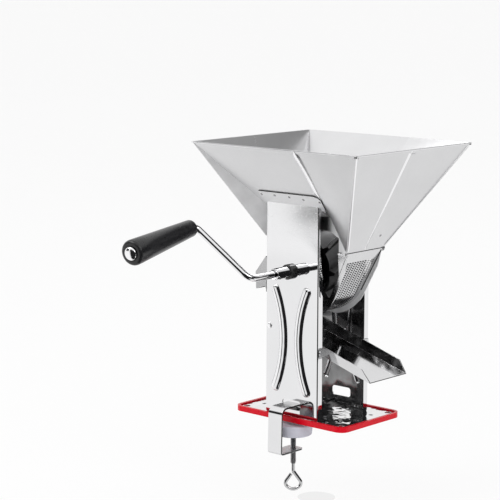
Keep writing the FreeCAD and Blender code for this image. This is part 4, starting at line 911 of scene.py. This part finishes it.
def make_springs():
    """Two close wound wire springs with a loop at each end."""
    hole = around(SCREEN_R + SCREEN_TAIL - 2.6, SCREEN_END_DEG)
    across = V(0, 1, 0)
    parts = []
    wire = SPRING_WIRE / 2
    for y in (-SPRING_Y, SPRING_Y):
        a, b = V(hole.x, y, hole.z), V(ANCHOR_X, y, ANCHOR_Z)
        pull = (b - a).normalized()
        eye_a, eye_b = SPRING_R - wire, ANCHOR_R + wire + 0.15
        start, end = a + pull * (2 * eye_a - 0.6), b - pull * (eye_b + 0.1)
        side = pull.cross(across).normalized()
        count = int((end - start).length / (SPRING_WIRE * 1.12)) * SPRING_COIL_SIDES
        route = []
        for k in range(count + 1):
            angle = math.tau * k / SPRING_COIL_SIDES
            spot = start + (end - start) * (k / count)
            arm = across * math.cos(angle) + side * math.sin(angle)
            route.append(spot + arm * (SPRING_R - wire))
        parts.append(tube(route, wire, 8))
        for centre, radius in ((a + pull * (eye_a - wire), eye_a), (b, eye_b)):
            angles = [math.tau * k / 24 for k in range(25)]
            loop = [centre + (pull * math.cos(t) + side * math.sin(t)) * radius for t in angles]
            parts.append(tube(loop, wire, 8))
    add_parts("wire_springs", parts, "spring_steel", "frame", ["screen_springs"])


def make_bushes():
    """Flanged bushes that reach from each plate to the roller."""
    inner, bore, edge = SIDE_OUTER_Y - ROLLER_HALF - BUSH_END_GAP, SHAFT_R + 0.05, 0.6
    outline = [(bore, -inner), (BUSH_R, -inner), (BUSH_R, 0), (BUSH_FLANGE_R, 0),
               (BUSH_FLANGE_R, BUSH_FLANGE - edge)]
    outline += quarter(BUSH_FLANGE_R, BUSH_FLANGE - edge, BUSH_FLANGE_R - edge, BUSH_FLANGE, False)
    outline += [(bore, BUSH_FLANGE)]
    for side, word in SIDES:
        bush = lathe(outline, V(AXIS_X, side * SIDE_OUTER_Y, AXIS_Z), V(0, side, 0), 64, True)
        add_parts(word + "_bush_turned", [bush], "bush_plastic", "frame", [word + "_bearing_bush"],
                  angle=30)


# -------------------- crank

CRANK_COS, CRANK_SIN = cos_sin(CRANK_ANGLE)
LEAN_COS, LEAN_SIN = cos_sin(GRIP_LEAN)
CRANK_WAY = V(CRANK_COS, 0, CRANK_SIN)
GRIP_WAY = V(0, -1, 0) * LEAN_COS - CRANK_WAY * LEAN_SIN
ELBOW = V(AXIS_X, CRANK_BEND_Y - CRANK_OFFSET, AXIS_Z) + CRANK_WAY * CRANK_RADIUS
GRIP_FOOT = ELBOW + GRIP_WAY * GRIP_START
SLEEVE_START_Y = -SIDE_OUTER_Y - BUSH_FLANGE - BUSH_END_GAP


def make_sleeve():
    """Turned sleeve with a groove and a narrower collar inside its end."""
    end, edge, groove = SLEEVE_LENGTH, 0.5, SLEEVE_R - 0.12
    outline = [(SHAFT_R, 0), (SLEEVE_R - edge, 0)]
    outline += quarter(SLEEVE_R - edge, 0, SLEEVE_R, edge, True, 3)
    outline += [(SLEEVE_R, 1.2), (groove, 1.3), (groove, 1.6), (SLEEVE_R, 1.7)]
    outline += [(SLEEVE_R, end - edge)]
    outline += quarter(SLEEVE_R, end - edge, SLEEVE_R - edge, end, False, 3)
    outline += [(SLEEVE_COLLAR_R + 0.2, end), (SLEEVE_COLLAR_R, end - 0.2),
                (SLEEVE_COLLAR_R, end - 3), (3.6, end - 3)]
    sleeve = lathe(outline, V(AXIS_X, SLEEVE_START_Y, AXIS_Z), V(0, -1, 0), 64, True)
    add_parts("crank_sleeve_turned", [sleeve], "crank_chrome", "crank", ["crank_sleeve"], angle=30)


def make_bar():
    """Bent round bar from the sleeve to the cap."""
    end = ELBOW + GRIP_WAY * (GRIP_START + GRIP_LENGTH + CAP_GAP + CAP_HEIGHT * 0.55)
    corners = [V(AXIS_X, SLEEVE_START_Y - ROD_IN_SLEEVE, AXIS_Z), V(AXIS_X, CRANK_BEND_Y, AXIS_Z),
               ELBOW, end]
    bar = tube(rounded(corners, [CRANK_BEND_R, ELBOW_R], 4), CRANK_ROD_R, 48)
    add_parts("crank_bar", [bar], "crank_chrome", "crank", ["crank_rod"])


def make_grip():
    """Tapered grip with a rounded foot, a fine groove and a rounded, recessed end."""
    bore, r0, r1, end = CRANK_ROD_R + 0.05, GRIP_R_INNER, GRIP_R_OUTER, GRIP_LENGTH
    groove = r1 - 0.15
    outline = [(bore, 0), (r0 - 2.6, 0)] + quarter(r0 - 2.6, 0, r0, 3.0, True, 6)
    outline += [(r0 + (r1 - r0) * t, 3.0 + (end - 7.4) * t) for t in (0.2, 0.4, 0.6, 0.8, 1.0)]
    outline += [(groove, end - 3.9), (groove, end - 3.6)]
    outline += quarter(groove, end - 3.2, r1 - 3.2, end, False, 6)
    outline += [(CAP_R + 0.9, end), (CAP_R + 0.6, end - 0.5), (bore, end - 0.5)]
    grip = lathe(outline, GRIP_FOOT, GRIP_WAY, 96, True)
    add_parts("grip_handle", [grip], "grip_plastic", "grip", ["grip"], angle=30)


def make_cap():
    """Dome that holds the grip on the bar."""
    outline = [(CAP_R, -0.3), (CAP_R, CAP_SKIRT)]
    outline += [(CAP_R * math.cos(a), CAP_SKIRT + (CAP_HEIGHT - CAP_SKIRT) * math.sin(a))
                for a in map(math.radians, range(6, 91, 6))]
    cap = lathe(outline, GRIP_FOOT + GRIP_WAY * (GRIP_LENGTH + CAP_GAP), GRIP_WAY, 64)
    add_parts("grip_cap_dome", [cap], "crank_chrome", "crank", ["grip_cap"], [CAP_HIGHLIGHT], 40)


# -------------------- clamp

def thread():
    """Open helical strip of a thread."""
    sides = 24
    points, faces = [], []
    steps = int((THREAD_TOP_Z - THREAD_LOW_Z - 1.4) / THREAD_PITCH) * sides
    for k in range(steps + 1):
        a = math.tau * k / sides
        z = THREAD_TOP_Z - 0.5 - THREAD_PITCH * k / sides
        for radius, drop in ((SCREW_R, 0.0), (THREAD_ROOT_R, THREAD_PITCH / 2)):
            arm = V(radius * math.cos(a), radius * math.sin(a), z - drop)
            points.append(V(0, SCREW_Y, 0) + arm)
    for k in range(steps):
        faces.append([2 * k, 2 * k + 1, 2 * k + 3, 2 * k + 2])
        if k + sides < steps:
            faces.append([2 * k + 1, 2 * (k + sides), 2 * (k + sides) + 2, 2 * k + 3])
    return points, faces


def screw_eye():
    """Neck and drop shaped eye, bent from one rod."""
    half, low = EYE_WIDTH / 2 - SCREW_ROD_R, EYE_LOW_Z + SCREW_ROD_R
    neck = V(0, 0, EYE_TOP_Z)
    right, left = (V(sign * half * 1.22, 0, low + EYE_BEND_R) for sign in (1, -1))
    bottom = V(0, 0, low - EYE_BEND_R * 0.36)
    corners = [V(0, 0, THREAD_LOW_Z + 1), neck, right, bottom, left, left + (neck - left) * 0.8]
    route = rounded(corners, [2 * SCREW_ROD_R, EYE_BEND_R, EYE_BEND_R * 1.6, EYE_BEND_R], 6)
    turn = Matrix.Rotation(math.radians(EYE_TURN), 3, "Z")
    return tube([turn @ p + V(0, SCREW_Y, 0) for p in route], SCREW_ROD_R, 32, 0.35)


def make_screw():
    """Threaded rod, darker than its bare neck and eye."""
    height, core_r = THREAD_TOP_Z - THREAD_LOW_Z, THREAD_ROOT_R + 0.03
    outline = [(SCREW_ROD_R, 0), (core_r, 0.5), (core_r, height - 0.5), (SCREW_ROD_R, height)]
    core = lathe(outline, V(0, SCREW_Y, THREAD_LOW_Z), V(0, 0, 1), 32)
    mesh = make_mesh("screw_threaded", [thread(), core, screw_eye()])
    for face in mesh.polygons:
        if face.center.z < (THREAD_LOW_Z - 0.2) * MM:
            face.material_index = 1
    add_piece("screw_threaded", mesh, "screw_steel", "clamp_screw", ["clamp_screw"],
              [MAT["screw_steel"], MAT["rod_steel"]], 40)


def make_pad():
    low = PAD_TOP_Z - PAD_HEIGHT
    outline = [(SCREW_R + 0.05, low), (PAD_R - 2.3, low)]
    outline += quarter(PAD_R - 2.3, low, PAD_R - 0.8, low + PAD_EDGE, True, 5)
    outline += quarter(PAD_R, PAD_TOP_Z - PAD_EDGE, PAD_R - PAD_EDGE, PAD_TOP_Z, False, 5)
    outline += [(0, PAD_TOP_Z)]
    cup = lathe(outline, V(0, SCREW_Y, 0), V(0, 0, 1), 96)
    add_parts("pad_cup", [cup], "pad_plastic", "clamp_pad", ["clamp_pad"], angle=30)


# -------------------- stage and light

# Dark parts of the studio, which polished steel shows as black bands. Directions round the object
# go from +X. The floor is dark outwards from between the two distances in metres.
DARK_FLOOR = ((-106, 6, 0.30, 0.42), (-106, -52, 0.10, 0.14), (-106, 98, 2.0, 2.3),
              (-148, -116, 3.3, 3.36))
DARK_WALL = ((-106, 98), (-148, -116))
DARK_WALL_TOP = (0.44, 0.54)
WHITE = (1, 1, 1)


def sector(tree, vector, begin, finish):
    """1 between two directions round the object, with soft sides."""
    split, soft = new_node(tree, "SeparateXYZ"), 3
    tree.links.new(vector, split.inputs[0])
    angle = math_node(tree, "ARCTAN2", split.outputs["Y"], split.outputs["X"])
    after = remap(tree, angle, 0, 1, math.radians(begin - soft), math.radians(begin + soft))
    before = remap(tree, angle, 1, 0, math.radians(finish - soft), math.radians(finish + soft))
    return math_node(tree, "MULTIPLY", after, before)


def hidden_from_camera(tree, dark, path):
    """Keeps the dark parts of the studio out of the picture's background."""
    return math_node(tree, "MULTIPLY", dark,
                     math_node(tree, "SUBTRACT", 1.0, path.outputs["Is Camera Ray"]))


def paper_material():
    """White paper, seen as plain white by camera, glossy and transmission rays, with shadow."""
    material = bpy.data.materials.new("studio_paper")
    material.use_nodes = True
    tree = material.node_tree
    tree.nodes.clear()
    output, mix = new_node(tree, "OutputMaterial"), new_node(tree, "MixShader")
    paper, glow = new_node(tree, "BsdfDiffuse"), new_node(tree, "Emission")
    paper.inputs["Color"].default_value = (0.86, 0.86, 0.86, 1)
    glow.inputs["Strength"].default_value = 1.0
    path = new_node(tree, "LightPath")
    seen = math_node(tree, "ADD", path.outputs["Is Camera Ray"], path.outputs["Is Glossy Ray"])
    seen = math_node(tree, "ADD", seen, path.outputs["Is Transmission Ray"], True)
    place = new_node(tree, "NewGeometry").outputs["Position"]
    flat = new_node(tree, "VectorMath", operation="MULTIPLY")
    flat.inputs[1].default_value = (1, 1, 0)
    tree.links.new(place, flat.inputs[0])
    length = new_node(tree, "VectorMath", operation="LENGTH")
    tree.links.new(flat.outputs["Vector"], length.inputs[0])
    dark = None
    for begin, finish, near, far in DARK_FLOOR:
        outwards = remap(tree, length.outputs["Value"], 0, 1, near, far)
        part = math_node(tree, "MULTIPLY", sector(tree, place, begin, finish), outwards)
        dark = math_node(tree, "MAXIMUM", dark, part) if dark else part
    dark = hidden_from_camera(tree, dark, path)
    tree.links.new(tint(tree, dark, WHITE, (0.015, 0.015, 0.016)), glow.inputs["Color"])
    share = math_node(tree, "MAXIMUM", math_node(tree, "MULTIPLY", seen, 0.86), dark)
    tree.links.new(math_node(tree, "MULTIPLY", share, seen), mix.inputs["Fac"])
    tree.links.new(paper.outputs[0], mix.inputs[1])
    tree.links.new(glow.outputs[0], mix.inputs[2])
    tree.links.new(mix.outputs[0], output.inputs["Surface"])
    return material


def make_stage():
    """Round floor with a raised rim, as a paper sweep."""
    rings = [(0.02, 0.0), (0.4, 0.0), (2.6, 0.0), (3.0, 0.06), (3.3, 0.26), (3.45, 0.6), (3.5, 1.1)]
    count = 96
    points = []
    for radius, height in rings:
        for k in range(count):
            a = math.tau * k / count
            points.append(V(radius * math.cos(a), radius * math.sin(a), FLOOR_Z_M + height))
    mesh = bpy.data.meshes.new("studio_floor")
    mesh.from_pydata(points, [], [list(range(count))] + strip_faces(len(rings), count))
    mesh.polygons.foreach_set("use_smooth", [True] * len(mesh.polygons))
    mesh.materials.append(paper_material())
    floor = bpy.data.objects.new("studio_floor", mesh)
    link(floor)


def make_world():
    """White all round for the camera, with dark walls up to head height for reflections."""
    world = bpy.data.worlds.new("studio")
    world.use_nodes = True
    tree = world.node_tree
    background = tree.nodes["Background"]
    around_us = new_node(tree, "TexCoord").outputs["Generated"]
    wall, band = [sector(tree, around_us, *ends) for ends in DARK_WALL]
    low = remap(tree, height_of(tree, around_us), 1, 0, *DARK_WALL_TOP)
    dark = math_node(tree, "MULTIPLY", low, math_node(tree, "MAXIMUM", wall, band))
    dark = hidden_from_camera(tree, dark, new_node(tree, "LightPath"))
    tree.links.new(tint(tree, dark, WHITE, (0.02, 0.02, 0.021)), background.inputs["Color"])
    background.inputs["Strength"].default_value = 1.0
    bpy.context.scene.world = world


def make_lamp(name, place, target, size, power):
    """Square area lamp that looks at a target, in metres and watts."""
    data = bpy.data.lights.new(name, "AREA")
    data.energy = power
    data.shape = "RECTANGLE"
    data.size = data.size_y = size
    lamp = bpy.data.objects.new(name, data)
    lamp.location = place
    lamp.rotation_euler = (Vector(target) - Vector(place)).to_track_quat("-Z", "Y").to_euler()
    link(lamp)


make_camera()
for name, node in NODES.items():
    for slot in node.material_slots:
        slot.material = MAT[SLOT[name]]
for make in (dress_sheets, make_creases, make_beads, make_ribs, make_lines, make_anchor,
             make_screen, make_roller, make_springs, make_sleeve, make_bar, make_grip, make_cap,
             make_bushes, make_screw, make_pad, make_welds, make_stage, make_world):
    make()
make_lamp("key", (-0.9, -1.6, 1.7), (0, 0, 0.15), 0.9, 14)
make_lamp("fill", (1.8, -0.4, 1.2), (0, 0, 0.12), 1.2, 8)
bpy.context.scene.view_settings.view_transform = "Standard"
